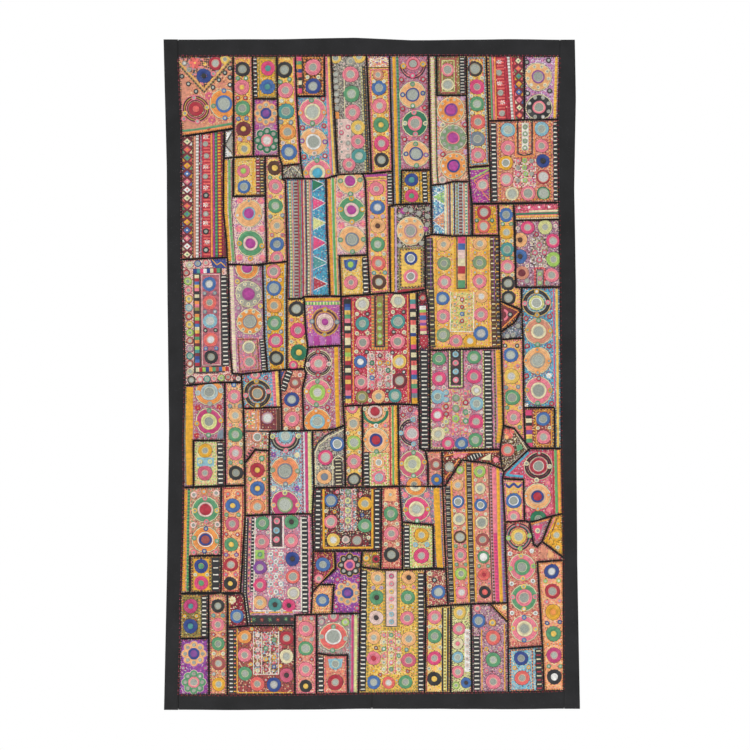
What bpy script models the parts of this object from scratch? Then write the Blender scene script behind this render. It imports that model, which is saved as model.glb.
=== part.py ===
"""Patchwork wall hanging of mirror embroidery.

A foundation cloth carries fifty-two sewn blocks on its front, a narrow seam apart, and a black cotton
border is folded round its rim. X is the width, Z the height and -Y the embroidered front. The origin is
the middle of the top edge, in the middle of the foundation cloth.
"""

import bmesh
import bpy
from mathutils import Vector

# Chart: the layout is drawn on squares of one size, columns to the right and rows down

SQUARE = 0.0024
CENTRE_COLUMN = 208.5
TOP_ROW = -1.2

# Cloth sizes in metres

GROUND_THICKNESS = 0.0015
BLOCK_THICKNESS = 0.0012
BORDER_THICKNESS = 0.0012
CLEARANCE = 0.00035
SEAM_WIDTH = 0.0031
BAND_JOINT = 0.0007
BACK_HEM = 0.026

BLOCK_LEVEL = GROUND_THICKNESS / 2 + CLEARANCE + BLOCK_THICKNESS / 2
BORDER_LEVEL = GROUND_THICKNESS / 2 + CLEARANCE + BORDER_THICKNESS / 2

# Outer edges: (row, column) down the sides, (column, row) along the top and bottom

LEFT_EDGE = ((0.5, 0.4), (131, 3.6), (260, 4.3), (391, 5.9), (521, 4), (670.6, 1))
RIGHT_EDGE = ((0.8, 412), (60, 413), (150, 411.4), (245, 413), (391, 413.5), (521, 414.4), (669.5, 417))
TOP_EDGE = ((0, 0.5), (122, 0), (192, -1.5), (249, 1.2), (267, 1), (345, 0), (413, 0.8))
BOTTOM_EDGE = ((0, 670.6), (60, 671), (137, 670.6), (200, 669.8), (272, 669.8), (340, 670.2), (418, 669.5))

# Inner edges of the border, in the same columns

FIELD_LEFT = (
    (0, 15), (17, 15), (97.5, 18.5), (220.5, 18.5), (260, 20.3), (346.5, 21.8), (400, 20), (448.5, 20.5),
    (490, 20), (554.6, 17.5), (600, 17), (656, 15.5), (672, 15.5),
)
FIELD_RIGHT = (
    (0, 397), (17.2, 397), (80.5, 395), (163.7, 395.8), (180.5, 396.5), (248, 397.5), (409.5, 398.7),
    (474.6, 400), (521, 400.5), (651.7, 401), (672, 401),
)
FIELD_TOP = ((0, 17), (114, 17), (203.5, 16.5), (265.3, 16.2), (361, 16.9), (397, 17.2), (418, 17.2))
FIELD_BOTTOM = (
    (0, 656), (64.5, 656), (132, 655.5), (195.6, 654.3), (261.5, 653.9), (345.5, 653), (401, 651.7), (418, 651.7),
)

BOTTOM_JOIN_COLUMN = 209

# Hanging folds: how far the cloth stands forward, in millimetres, across the columns and down the rows

FOLDS_ACROSS = (
    (0, 0.6), (40, -1.2), (76, 1.3), (112, -0.6), (158, 1.4), (192, -0.9), (222, 0.5), (247, 1.5),
    (274, -0.4), (297, 0.9), (318, -1.1), (368, 1.2), (388, -0.5), (418, 0.8),
)
FOLDS_DOWN = (
    (-2, 0), (36, 0.9), (72, -0.4), (106, -1.3), (152, 0.3), (190, 1.2), (238, -0.2), (280, -1.1),
    (322, 0.6), (357, 1.3), (397, 0.2), (436, -0.9), (463, 0.1), (493, 1.1), (538, -0.3), (592, 1.0),
    (632, 2.1), (672, 3.2),
)

# Colours as seen, red green blue from 0 to 255

COLOURS = {
    "black": (43, 43, 46),
    "blue": (74, 120, 181),
    "brick": (173, 82, 78),
    "cream": (225, 214, 178),
    "crimson": (170, 52, 70),
    "dark": (70, 58, 54),
    "green": (98, 150, 104),
    "grey": (170, 160, 150),
    "lilac": (184, 138, 176),
    "mustard": (226, 176, 64),
    "orange": (238, 150, 80),
    "orchid": (176, 84, 150),
    "peach": (240, 184, 134),
    "pink": (232, 132, 140),
    "rose": (206, 84, 104),
    "salmon": (217, 134, 112),
    "sky": (92, 164, 188),
    "violet": (128, 76, 140),
    "yellow": (240, 206, 110),
}

# Blocks: name, colour, corners as (column, row), clockwise from the top left

BLOCKS = (
    ("fan_corner", "salmon", (
        (15, 17), (70.2, 17), (70.5, 89.5), (71, 118.5), (61, 119.5), (61.5, 91.5), (18.5, 97.5))),
    ("brocade_strip", "brick", (
        (18.5, 97.5), (61.5, 91.5), (61, 119.5), (60.5, 172), (63.5, 200), (64.6, 218.5), (18.5, 220.5))),
    ("rosette_columns", "peach", (
        (70.2, 17), (114, 17), (114.5, 60), (116, 117), (102, 117.2), (90.6, 117.5), (71, 118.5),
        (70.5, 89.5))),
    ("yellow_column", "yellow", (
        (114, 17), (132.5, 17), (133.5, 57.5), (138, 124.8), (140.3, 139.7), (119.3, 140), (119.5, 127),
        (116, 117), (114.5, 60))),
    ("turquoise_medallions", "sky", (
        (132.5, 17), (168.3, 16.8), (175, 136), (163, 139.5), (140.3, 139.7), (138, 124.8), (133.5, 57.5))),
    ("grey_column", "grey", (
        (168.3, 16.8), (203.5, 16.5), (226.5, 16.2), (229.7, 132.6), (208.5, 134.5), (199.7, 134.8),
        (175, 136))),
    ("crimson_medallions", "crimson", (
        (226.5, 16.2), (265.3, 16.2), (267.5, 131), (268.5, 164.8), (230.5, 166), (229.7, 132.6))),
    ("mirror_medallions", "orange", (
        (265.3, 16.2), (303, 16.5), (323.3, 16.6), (325.5, 82), (327, 126.5), (305.5, 128.5), (306.3, 143),
        (291, 142.7), (279, 145.2), (268.2, 146.5), (267.5, 131))),
    ("lilac_medallions", "lilac", (
        (323.3, 16.6), (361, 16.9), (397, 17.2), (395, 80.5), (361.5, 81), (325.5, 82))),
    ("bodice_upper_right", "pink", (
        (325.5, 82), (361.5, 81), (395, 80.5), (395.8, 163.7), (350.7, 165), (335, 164.7), (328, 164.5),
        (327, 126.5))),
    ("purple_star", "violet", (
        (305.5, 128.5), (327, 126.5), (328, 164.5), (335, 164.7), (336, 196.7), (309.5, 196.7), (309, 165),
        (306.3, 143))),
    ("peach_medallions", "peach", (
        (61, 119.5), (71, 118.5), (90.6, 117.5), (102, 117.2), (102.5, 157), (104, 224.5), (90, 226.5),
        (65, 225.5), (64.6, 218.5), (63.5, 200), (60.5, 172))),
    ("left_column", "yellow", (
        (102, 117.2), (116, 117), (119.5, 127), (119.3, 140), (122.5, 141.5), (124.5, 222.5), (104, 224.5),
        (102.5, 157))),
    ("pennant_stripes", "rose", (
        (119.3, 140), (140.3, 139.7), (163, 139.5), (164, 190), (167, 257), (141, 257.7), (139, 259.5),
        (123.7, 260), (124.5, 222.5), (122.5, 141.5))),
    ("orchid_medallions", "orchid", (
        (163, 139.5), (175, 136), (199.7, 134.8), (202.5, 142), (204.5, 216), (207, 255.5), (178, 257.6),
        (167, 257), (164, 190))),
    ("dotted_column", "yellow", (
        (199.7, 134.8), (208.5, 134.5), (229.7, 132.6), (230.5, 166), (226, 168), (227.5, 253.6),
        (207, 255.5), (204.5, 216), (202.5, 142))),
    ("lilac_medallion", "lilac", (
        (226, 168), (230.5, 166), (268.5, 164.8), (269.3, 195.2), (262, 198), (262.4, 250.5),
        (234.5, 254.6), (227.5, 253.6))),
    ("pennant_pair", "sky", (
        (268.2, 146.5), (279, 145.2), (291, 142.7), (306.3, 143), (309, 165), (309.5, 196.7), (290, 197.2),
        (269.3, 195.2), (268.5, 164.8))),
    ("bodice_mustard", "mustard", (
        (262, 198), (269.3, 195.2), (290, 197.2), (309.5, 196.7), (336, 196.7), (337, 262), (338.3, 309),
        (313, 309.7), (272, 311.4), (267, 310.7), (265.5, 266), (262.4, 250.5))),
    ("mint_column", "green", (
        (335, 164.7), (350.7, 165), (352, 181.5), (353, 248), (358.5, 248.5), (358.7, 271), (360, 299),
        (338.4, 300.5), (337, 262), (336, 196.7))),
    ("bodice_right_edge", "pink", (
        (350.7, 165), (395.8, 163.7), (396.5, 180.5), (397.5, 248), (358.5, 248.5), (353, 248),
        (352, 181.5))),
    ("corner_strip", "rose", (
        (18.5, 220.5), (64.6, 218.5), (65, 225.5), (67, 310), (69.5, 334.5), (78.5, 335.3), (79, 343.6),
        (62, 343.4), (22, 346.5), (20.3, 260))),
    ("grey_medallions", "grey", (
        (65, 225.5), (90, 226.5), (99.5, 226), (101.5, 298), (104.5, 332.4), (78.5, 335.3), (69.5, 334.5),
        (67, 310))),
    ("narrow_column", "yellow", (
        (99.5, 226), (104, 224.5), (124.5, 222.5), (123.7, 260), (124, 330.5), (104.5, 332.4),
        (101.5, 298))),
    ("gold_target", "orchid", (
        (123.7, 260), (139, 259.5), (141, 257.7), (167, 257), (178, 257.6), (178.7, 306.4), (145, 308.4),
        (141.5, 330), (124, 330.5))),
    ("rose_medallions", "rose", (
        (145, 308.4), (178.7, 306.4), (179.2, 330), (180.3, 367.4), (181.6, 386.3), (171, 390.3),
        (141, 391.6), (139.5, 350), (143.3, 334), (141.5, 330))),
    ("bodice_crimson", "crimson", (
        (178, 257.6), (207, 255.5), (227.5, 253.6), (234.5, 254.6), (254.5, 252.5), (254.7, 310), (256, 366),
        (235, 365), (227.5, 364.6), (199.5, 366.3), (180.3, 367.4), (179.2, 330), (178.7, 306.4))),
    ("ladder_strip", "dark", (
        (254.5, 252.5), (262.4, 250.5), (265.5, 266), (267, 310.7), (266.6, 411.5), (262.5, 411.8),
        (257, 409.4), (256, 366), (254.7, 310))),
    ("green_ring_column", "yellow", (
        (338.4, 300.5), (360, 299), (360.8, 368.5), (362, 403), (351, 389.5), (340.5, 386.5))),
    ("sky_medallions", "sky", (
        (358.5, 248.5), (397.5, 248), (398.7, 409.5), (367, 409.5), (362, 403), (360.8, 368.5), (360, 299),
        (358.7, 271))),
    ("bodice_green_rings", "rose", (
        (267, 310.7), (272, 311.4), (313, 309.7), (338.3, 309), (340.5, 386.5), (338, 404), (337, 410.3),
        (279, 411.5), (266.6, 411.5))),
    ("mustard_edge", "mustard", (
        (21.8, 346.5), (62, 343.4), (79, 343.6), (80.5, 369.5), (81.2, 390), (82, 424), (82, 446.3),
        (62.5, 446.8), (30.5, 448), (20.5, 448.5), (20, 400))),
    ("sky_target", "sky", (
        (78.5, 335.3), (104.5, 332.4), (124, 330.5), (141.5, 330), (143.3, 334), (139.5, 350), (141, 391.6),
        (119, 392), (107, 392.5), (106, 411.7), (92, 411), (82, 424), (81.2, 390), (80.5, 369.5),
        (79, 343.6))),
    ("orange_medallions", "orange", (
        (82, 424), (92, 411), (106, 411.7), (107, 392.5), (119, 392), (141, 391.6), (149.5, 391.4),
        (150, 411), (151, 449), (149.3, 474.6), (106.5, 475.5), (82.3, 476.7), (82, 446.3))),
    ("cut_corner_rings", "peach", (
        (149.5, 391.4), (171, 390.3), (181.6, 386.3), (180.3, 367.4), (199.5, 366.3), (200, 448.2),
        (182.5, 448.2), (151, 449), (150, 411))),
    ("green_arc", "green", (
        (199.5, 366.3), (227.5, 364.6), (235, 365), (256, 366), (257, 409.4), (262.5, 411.8),
        (266.6, 411.5), (279, 411.5), (279.7, 447.5), (236.3, 447.2), (218.5, 448), (200, 448.2))),
    ("fan_patches", "dark", (
        (279, 411.5), (337, 410.3), (338, 404), (340.5, 386.5), (351, 389.5), (362, 403), (367, 409.5),
        (341, 433), (339, 430), (326.5, 424.5), (299, 421), (282, 447), (279.7, 447.5))),
    ("rose_target", "rose", (
        (367, 409.5), (398.7, 409.5), (400, 474.6), (389, 477), (366.5, 483.3), (361.5, 481.6), (342, 483),
        (339.5, 439.7), (341, 433))),
    ("long_columns", "orange", (
        (299, 421), (326.5, 424.5), (339, 430), (341, 433), (339.5, 439.7), (342, 483), (342.5, 515),
        (344.6, 563.7), (308, 565), (285, 566.3), (283, 530), (281.5, 500), (279.7, 447.5), (282, 447))),
    ("left_medallions", "green", (
        (20.5, 448.5), (30.5, 448), (58.3, 447.5), (62.5, 446.8), (82, 446.3), (82.3, 476.7), (81, 500),
        (77.5, 553.7), (58, 553.8), (17.5, 554.6), (20, 490))),
    ("bodice_white_beads", "cream", (
        (82.3, 476.7), (106.5, 475.5), (149.3, 474.6), (150.3, 512), (149.5, 553), (148, 575.2), (132, 576),
        (131.6, 586.6), (85, 586.6), (81, 556), (77.5, 553.7), (81, 500))),
    ("bodice_black", "dark", (
        (151, 449), (182.5, 448.2), (200, 448.2), (218.5, 448), (218, 511.6), (199, 511.8), (150.3, 512),
        (149.3, 474.6))),
    ("rose_medallion", "rose", (
        (218.5, 448), (236.3, 447.2), (279.7, 447.5), (281.5, 500), (283, 530), (285, 566.3), (263, 568),
        (262, 530.2), (217.6, 530.6), (218, 511.6))),
    ("violet_rosettes", "violet", (
        (150.3, 512), (199, 511.8), (198, 528), (197, 574.2), (148, 575.2), (149.5, 553))),
    ("bodice_olive", "mustard", (
        (199, 511.8), (218, 511.6), (217.6, 530.6), (262, 530.2), (263, 568), (261.5, 653.9),
        (195.6, 654.3), (197, 574.2), (198, 528))),
    ("salmon_medallions", "salmon", (
        (342, 483), (361.5, 481.6), (366.5, 483.3), (389, 477), (400, 474.6), (400.5, 521), (374.5, 523),
        (377.5, 575), (379.4, 607), (345, 609.5), (344.6, 563.7), (342.5, 515))),
    ("right_column", "peach", (
        (374.5, 523), (400.5, 521), (401, 651.7), (381, 652), (345.5, 653), (345, 609.5), (379.4, 607),
        (377.5, 575))),
    ("violet_corner", "violet", (
        (17.5, 554.6), (45.5, 555), (58, 553.8), (64.5, 555.5), (65, 588.5), (64.5, 656), (46.3, 656),
        (15.5, 656))),
    ("bodice_bottom_left", "peach", (
        (64.5, 555.5), (77.5, 553.7), (81, 556), (85, 586.6), (131.6, 586.6), (132, 655.5), (64.5, 656),
        (65, 588.5))),
    ("bottom_medallion", "orange", (
        (132, 576), (148, 575.2), (197, 574.2), (195.6, 654.3), (132, 655.5), (131.6, 586.6))),
    ("bottom_columns", "peach", (
        (263, 568), (285, 566.3), (308, 565), (309, 653.4), (261.5, 653.9))),
    ("bottom_cut_corner", "grey", (
        (308, 565), (344.6, 563.7), (345, 609.5), (345.5, 653), (309, 653.4))),
)


def along(table, place):
    """Read a two-column table at a place between its rows."""
    if place <= table[0][0]:
        return table[0][1]
    for (start, first), (end, second) in zip(table, table[1:]):
        if place <= end:
            return first + (second - first) * (place - start) / (end - start)
    return table[-1][1]


def on_cloth(column, row):
    """X and Z of a point of the chart."""
    return (column - CENTRE_COLUMN) * SQUARE, (TOP_ROW - row) * SQUARE


def fold_depth(x, z):
    """How far the cloth stands back from the middle plane at a place on it."""
    column = x / SQUARE + CENTRE_COLUMN
    row = TOP_ROW - z / SQUARE
    return -(along(FOLDS_ACROSS, column) + along(FOLDS_DOWN, row)) / 1000


def shrink(corners, margin):
    """Move every side of a clockwise outline inwards by a margin, in squares of the chart."""
    moved = []
    count = len(corners)
    for index, corner in enumerate(corners):
        before = Vector(corners[index - 1])
        here = Vector(corner)
        after = Vector(corners[(index + 1) % count])
        arriving = (here - before).normalized()
        leaving = (after - here).normalized()
        first = Vector((-arriving.y, arriving.x))
        second = Vector((-leaving.y, leaving.x))
        shift = (first + second) * (margin / (1 + first.dot(second)))
        moved.append(here + shift)
    return moved


def material(name, colour, roughness):
    """A plain cloth material in a named colour."""
    made = bpy.data.materials.new(name)
    made.use_nodes = True
    surface = made.node_tree.nodes["Principled BSDF"]
    linear = [((value / 255 + 0.055) / 1.055) ** 2.4 for value in COLOURS[colour]]
    surface.inputs["Base Color"].default_value = (*linear, 1)
    surface.inputs["Roughness"].default_value = roughness
    return made


def cloth_object(name, mesh_builder, thickness, colour, roughness):
    """Turn an open surface into a closed cloth of even thickness."""
    mesh_builder.normal_update()
    mesh = bpy.data.meshes.new(name)
    mesh_builder.to_mesh(mesh)
    mesh_builder.free()
    made = bpy.data.objects.new(name, mesh)
    collection.objects.link(made)
    mesh.materials.append(material(name, colour, roughness))
    solid = made.modifiers.new("cloth thickness", "SOLIDIFY")
    solid.thickness = thickness
    solid.offset = 0
    solid.use_even_offset = True
    return made


def flat_piece(name, corners, level, thickness, colour, roughness):
    """A flat cut piece that follows the folds, its middle a level in front of the middle plane."""
    builder = bmesh.new()
    places = [on_cloth(column, row) for column, row in corners]
    builder.faces.new([builder.verts.new((x, 0, z)) for x, z in reversed(places)])
    cuts = [(Vector((on_cloth(column, 0)[0], 0, 0)), Vector((1, 0, 0))) for column, _ in FOLDS_ACROSS]
    cuts += [(Vector((0, 0, on_cloth(0, row)[1])), Vector((0, 0, 1))) for row, _ in FOLDS_DOWN]
    for place, direction in cuts:
        everything = builder.verts[:] + builder.edges[:] + builder.faces[:]
        bmesh.ops.bisect_plane(builder, geom=everything, dist=0.00005, plane_co=place, plane_no=direction)
    for vertex in builder.verts:
        vertex.co.y = fold_depth(vertex.co.x, vertex.co.z) - level
    return cloth_object(name, builder, thickness, colour, roughness)


def border_band(name, stations):
    """A strip folded round the rim. Each station is its outer and inner point, as (column, row)."""
    builder = bmesh.new()
    rows = []
    for outer, inner in stations:
        rim = Vector(on_cloth(*outer))
        edge = Vector(on_cloth(*inner))
        inwards = (edge - rim).normalized()
        fold = rim + inwards * (BORDER_THICKNESS / 2)
        hem = rim + inwards * BACK_HEM
        section = ((hem, 1), (fold, 1), (fold, -1), (edge, -1))
        points = []
        for place, side in section:
            depth = fold_depth(place.x, place.y) + side * BORDER_LEVEL
            points.append(builder.verts.new((place.x, depth, place.y)))
        rows.append(points)
    for near, far in zip(rows, rows[1:]):
        for index in range(3):
            builder.faces.new((near[index], near[index + 1], far[index + 1], far[index]))
    bmesh.ops.recalc_face_normals(builder, faces=builder.faces[:])
    return cloth_object(name, builder, BORDER_THICKNESS, "black", 0.9)


def side_stations(outer_table, inner_table, first_row, last_row):
    """Stations down a side band, one at every row where an edge or a fold bends."""
    rows = {first_row, last_row}
    for table in (outer_table, inner_table, FOLDS_DOWN):
        rows.update(row for row, _ in table if first_row < row < last_row)
    return [((along(outer_table, row), row), (along(inner_table, row), row)) for row in spread(rows)]


def end_stations(outer_table, inner_table, first_column, last_column):
    """Stations along a top or bottom band, one at every column where an edge or a fold bends."""
    columns = {first_column, last_column}
    for table in (outer_table, inner_table, FOLDS_ACROSS):
        columns.update(column for column, _ in table if first_column < column < last_column)
    return [
        ((column, along(outer_table, column)), (column, along(inner_table, column)))
        for column in spread(columns)
    ]


def spread(places):
    """Sort places and drop those closer than one square to the one before, but never the ends."""
    ordered = sorted(places)
    kept = [ordered[0]]
    for place in ordered[1:-1]:
        if place - kept[-1] > 1 and ordered[-1] - place > 1:
            kept.append(place)
    kept.append(ordered[-1])
    return kept


def outline():
    """Corners of the whole hanging, clockwise from the top left."""
    first_column = LEFT_EDGE[0][1]
    last_column = RIGHT_EDGE[0][1]
    top = [(first_column, along(TOP_EDGE, first_column))]
    top += [(column, row) for column, row in TOP_EDGE if first_column < column < last_column]
    right = [(column, row) for row, column in RIGHT_EDGE]
    bottom = [(column, row) for column, row in reversed(BOTTOM_EDGE) if 1 < column < 417]
    left = [(column, row) for row, column in reversed(LEFT_EDGE[1:])]
    return top + right + bottom + left


for old in list(bpy.data.objects):
    bpy.data.objects.remove(old, do_unlink=True)

collection = bpy.data.collections.new("patchwork_hanging")
bpy.context.scene.collection.children.link(collection)

# Foundation cloth

rim_margin = (BORDER_THICKNESS + 0.0005) / SQUARE
flat_piece("ground", shrink(outline(), rim_margin), 0, GROUND_THICKNESS, "dark", 0.95)

# Black border, folded round the rim

joint = BAND_JOINT / SQUARE
border_band("border_left", side_stations(LEFT_EDGE, FIELD_LEFT, LEFT_EDGE[0][0], LEFT_EDGE[-1][0]))
border_band("border_right", side_stations(RIGHT_EDGE, FIELD_RIGHT, RIGHT_EDGE[0][0], RIGHT_EDGE[-1][0]))
border_band("border_top", end_stations(TOP_EDGE, FIELD_TOP, 15 + joint, 397 - joint))
border_band(
    "border_bottom_left",
    end_stations(BOTTOM_EDGE, FIELD_BOTTOM, 15.5 + joint, BOTTOM_JOIN_COLUMN - joint / 2),
)
border_band(
    "border_bottom_right",
    end_stations(BOTTOM_EDGE, FIELD_BOTTOM, BOTTOM_JOIN_COLUMN + joint / 2, 401 - joint),
)

# Sewn blocks, half a seam back from the lines of the chart

half_seam = SEAM_WIDTH / 2 / SQUARE
for block_name, block_colour, block_corners in BLOCKS:
    flat_piece(block_name, shrink(block_corners, half_seam), BLOCK_LEVEL, BLOCK_THICKNESS, block_colour, 0.85)
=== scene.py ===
import math
import random

import bmesh
import bpy
import numpy as np
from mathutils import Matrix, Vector


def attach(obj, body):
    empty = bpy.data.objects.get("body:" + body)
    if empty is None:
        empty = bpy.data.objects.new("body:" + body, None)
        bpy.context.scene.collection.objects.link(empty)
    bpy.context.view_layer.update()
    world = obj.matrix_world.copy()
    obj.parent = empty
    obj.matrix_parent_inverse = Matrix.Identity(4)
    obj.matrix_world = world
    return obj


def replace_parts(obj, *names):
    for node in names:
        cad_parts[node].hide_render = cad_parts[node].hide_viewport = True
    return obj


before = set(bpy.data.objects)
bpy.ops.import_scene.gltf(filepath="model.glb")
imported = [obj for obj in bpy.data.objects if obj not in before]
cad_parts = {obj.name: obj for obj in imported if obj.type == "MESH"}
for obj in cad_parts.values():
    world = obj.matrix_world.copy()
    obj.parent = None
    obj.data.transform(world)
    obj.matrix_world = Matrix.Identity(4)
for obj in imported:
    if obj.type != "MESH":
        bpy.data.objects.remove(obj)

# Patchwork wall hanging of mirror embroidery, drawn on a chart of 2.4 mm squares.
# Columns run to the right and rows down. X is the width, Z the height, and -Y the embroidered front.
# Lengths along the cloth are in squares and heights off the cloth in millimetres, unless a line says metres.

SQUARE = 0.0024
CENTRE_COLUMN = 208.5
TOP_ROW = -1.2

# Levels of the cloths in front of the middle plane, in metres, and the cuts of their meshes

CLOTH_LEVEL = 0.0021
HEM_LEVEL = 0.0017
CELL = 3.0
GROUND_CELL = 5.0
GROUND_INSET = 1.2
SEAM_INSET = 0.62
TURNED_EDGE = 0.7
SHARP_CORNER = 0.3
CLOTH_SHADES = (0.94, 1.06)
SIDE_STATIONS = 190
END_PITCH = 3.4

# Border strip in section, from its edge at the back round the rim: distance from it, place behind the middle

FOLD_OVER = (
    (26 / 2.4, 1.6), (8, 1.75), (3, 1.8), (0.7, 1.4), (0.25, 0.8), (0.12, 0), (0.25, -0.8), (0.7, -1.4),
)
FRONT_SHARES = (0.12, 0.25, 0.4, 0.55, 0.7, 0.85)
FRONT_PLACE = -1.85
CREASE = 0.22

# Cross-sections of couched bands up to each width: share of the half width, share of the height

BAND_PROFILES = (
    (0.8, ((-1, -0.1), (0, 1), (1, -0.1))),
    (1.6, ((-1, -0.1), (-0.4, 1), (0.4, 1), (1, -0.1))),
    (99, ((-1, -0.1), (-0.62, 0.85), (0, 1), (0.62, 0.85), (1, -0.1))),
)
BAND_HEIGHT = 0.6
EDGE_HEIGHT = 0.55
COVERING_WIDTH = 1.9
COVERING_MARGIN = 0.9
CUT_HEIGHT = 0.15

# Bands of the round motifs, inwards: share of the radius, height, brightness. The brightness is painted light
# and
# shade: bands that sit low are darker and the raised crests lighter. The medallion's start with the distance
# from its rim instead. Then the steps round each kind of motif.

RING_BANDS = (
    (1, 0.2, 0.6), (0.95, 0.55, 1.05), (0.84, 0.9, 1.1), (0.79, 0.72, 0.7), (0.75, 0.95, 1.0),
    (0.64, 1.0, 1.12), (0.6, 0.85, 0.8),
)
MEDALLION_BANDS = (
    (1.0, 0.4, 0.7), (1.6, 0.85, 1.05), (2.8, 1.0, 1.1), (3.1, 0.8, 0.75), (3.5, 1.0, 1.0),
    (4.6, 1.05, 1.08), (4.9, 0.85, 0.8), (5.3, 0.95, 1.0),
)
ROSETTE_BANDS = ((0.46, 0.3, 0.85), (0.43, 1.0, 1.05), (0.34, 1.05, 0.95), (0.24, 0.2, 0.6))
PETAL_BANDS = ((0.29, 0.5, 0.9), (0.22, 0.75, 1.1), (0.1, 0.5, 1.0))
BUD_BANDS = ((1, -0.1, 0.6), (0.93, 1.15, 1.0), (0.74, 1.45, 1.12), (0.55, 1.2, 0.75))
RING_STEPS = 30
MEDALLION_STEPS = 48
ROSETTE_STEPS = 24
RIM_STEPS = 20
EYE_STEPS = 16
BUD_STEPS = 14
ARC_STEP_DEGREES = 9
WAVINESS = (0.022, 0.016)
ROSETTE_PETALS = 8
PETAL_REACH = 0.67
SCALLOPED_BANDS = 4
MIDDLE_HEIGHT = 1.05

# Running stitches, laid rows, bars and flowers

DASH_LENGTH = 1.5
DASH_GAP = 1.1
DASH_BASE = 0.35
DASH_HEIGHT = 0.7
DOT_HEIGHT = 0.85
LAID_PITCH = 1.25
LAID_WIDTH = 1.35
LAID_HEIGHT = 0.34
BAR_PITCH = 0.85
BAR_ENDS = (0.04, 0.96)
BAR_SPREAD = 1.25
BAR_HEIGHT = 0.5
BAR_BASE = 0.55
BAR_LENGTH = 4.0
FLOWER_PETALS = 6

# Ladders: the ground's width and cover as shares, its height and step, then the rungs

LADDER_GROUND = 1.15
LADDER_COVER = 1.2
LADDER_HEIGHT = 0.25
LADDER_STEP = 3
RUNG_REACH = 0.36
RUNG_STRAY = (-0.05, 0.04)
RUNG_WIDTH = 1.35
RUNG_SHARE = 0.31
RUNG_HEIGHT = 0.55
RUNG_BASE = 0.2

# Small stitches that fill the grounds

FLECK_PITCH = 2.05
FLECK_STRAY = 0.8
FLECK_REACH = (0.55, 0.95)
FLECK_SIZE = (0.68, 0.4)
FLECK_ANGLES = (0.0, 0.8, 1.6, 2.4)
FLECK_TURN = 0.2
OTHER_SHARE = 0.26
OTHER_FLECKS = ("cream", "dark", "maroon", "cream", "pale")

# Sewing along each patch: the edge, the coloured stitches over it and the dark ones inwards. Then the hem's.
# A size is a stitch's width and height, and a base is the height that it starts from.

EDGE_SETBACK = 0.22
EDGE_SIZE = (0.6, 0.75)
EDGE_STEP = 1.3
OVER_PITCH = 2.6
OVER_SHARE = 0.55
OVER_REACH = 0.7
OVER_SIZE = (0.7, 0.5)
OVER_BASE = 0.55
OVER_COLOURS = ("crimson", "rose", "cream", "mustard", "brick")
INWARD_PITCH = 1.9
INWARD_REACH = (0.9, 1.9)
INWARD_SLANT = 0.5
INWARD_SIZE = (0.75, 0.6)
INWARD_BASE = 0.35
INWARD_COLOURS = ("black", "black", "dark", "maroon")
HEM_PITCH = 1.8
HEM_REACH = (0.6, 1.1)
HEM_SLANT = 0.3
HEM_SIZE = (0.55, 0.5)

# Mirrors: how many glint white, how uneven their tone is, how far they lean and how they rise to the middle

GLINT_SHARE = 0.09
MIRROR_SPREAD = 0.24
LEAN = 0.09
INNER_SHARE = 0.6
INNER_RISE = 0.08
MIDDLE_RISE = 0.06
RING_MIRROR_STEPS = 18
BUD_MIRROR_STEPS = 10

# Floor, light and camera

FLOOR_RADIUS = 1.3
FLOOR_LEVEL = -1.97
FLOOR_GREY = 0.8
SKY_RAMP = ((0.0, 0.62), (0.3, 1.0))
SUN_STRENGTH = 1.9
SUN_SPREAD = 12
SUN_TURNS = (48, -14, -32)
CAMERA_PLACE = (0.0084, -5.0, -0.8093)
LENS = 100

# Edges of the hanging and of its border, as in the frame

LEFT_EDGE = ((0.5, 0.4), (131, 3.6), (260, 4.3), (391, 5.9), (521, 4), (670.6, 1))
RIGHT_EDGE = ((0.8, 412), (60, 413), (150, 411.4), (245, 413), (391, 413.5), (521, 414.4), (669.5, 417))
TOP_EDGE = ((0, 0.5), (122, 0), (192, -1.5), (249, 1.2), (267, 1), (345, 0), (413, 0.8))
BOTTOM_EDGE = ((0, 670.6), (60, 671), (137, 670.6), (200, 669.8), (272, 669.8), (340, 670.2), (418, 669.5))
FIELD_LEFT = (
    (0, 15), (17, 15), (97.5, 18.5), (220.5, 18.5), (260, 20.3), (346.5, 21.8), (400, 20), (448.5, 20.5),
    (490, 20), (554.6, 17.5), (600, 17), (656, 15.5), (672, 15.5),
)
FIELD_RIGHT = (
    (0, 397), (17.2, 397), (80.5, 395), (163.7, 395.8), (180.5, 396.5), (248, 397.5), (409.5, 398.7),
    (474.6, 400), (521, 400.5), (651.7, 401), (672, 401),
)
FIELD_TOP = ((0, 17), (114, 17), (203.5, 16.5), (265.3, 16.2), (361, 16.9), (397, 17.2), (418, 17.2))
FIELD_BOTTOM = (
    (0, 656), (64.5, 656), (132, 655.5), (195.6, 654.3), (261.5, 653.9), (345.5, 653), (401, 651.7),
    (418, 651.7),
)

# Hanging folds in millimetres, across the columns and down the rows

FOLDS_ACROSS = (
    (0, 0.6), (40, -1.2), (76, 1.3), (112, -0.6), (158, 1.4), (192, -0.9), (222, 0.5), (247, 1.5),
    (274, -0.4), (297, 0.9), (318, -1.1), (368, 1.2), (388, -0.5), (418, 0.8),
)
FOLDS_DOWN = (
    (-2, 0), (36, 0.9), (72, -0.4), (106, -1.3), (152, 0.3), (190, 1.2), (238, -0.2), (280, -1.1),
    (322, 0.6), (357, 1.3), (397, 0.2), (436, -0.9), (463, 0.1), (493, 1.1), (538, -0.3), (592, 1.0),
    (632, 2.1), (672, 3.2),
)

WIDE_PUCKER = 0.28
NARROW_PUCKER = 0.16

# Thread and cloth colours as seen, and how uneven a thread's tone is from stitch to stitch

TONE_SPREAD = 0.09

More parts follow.
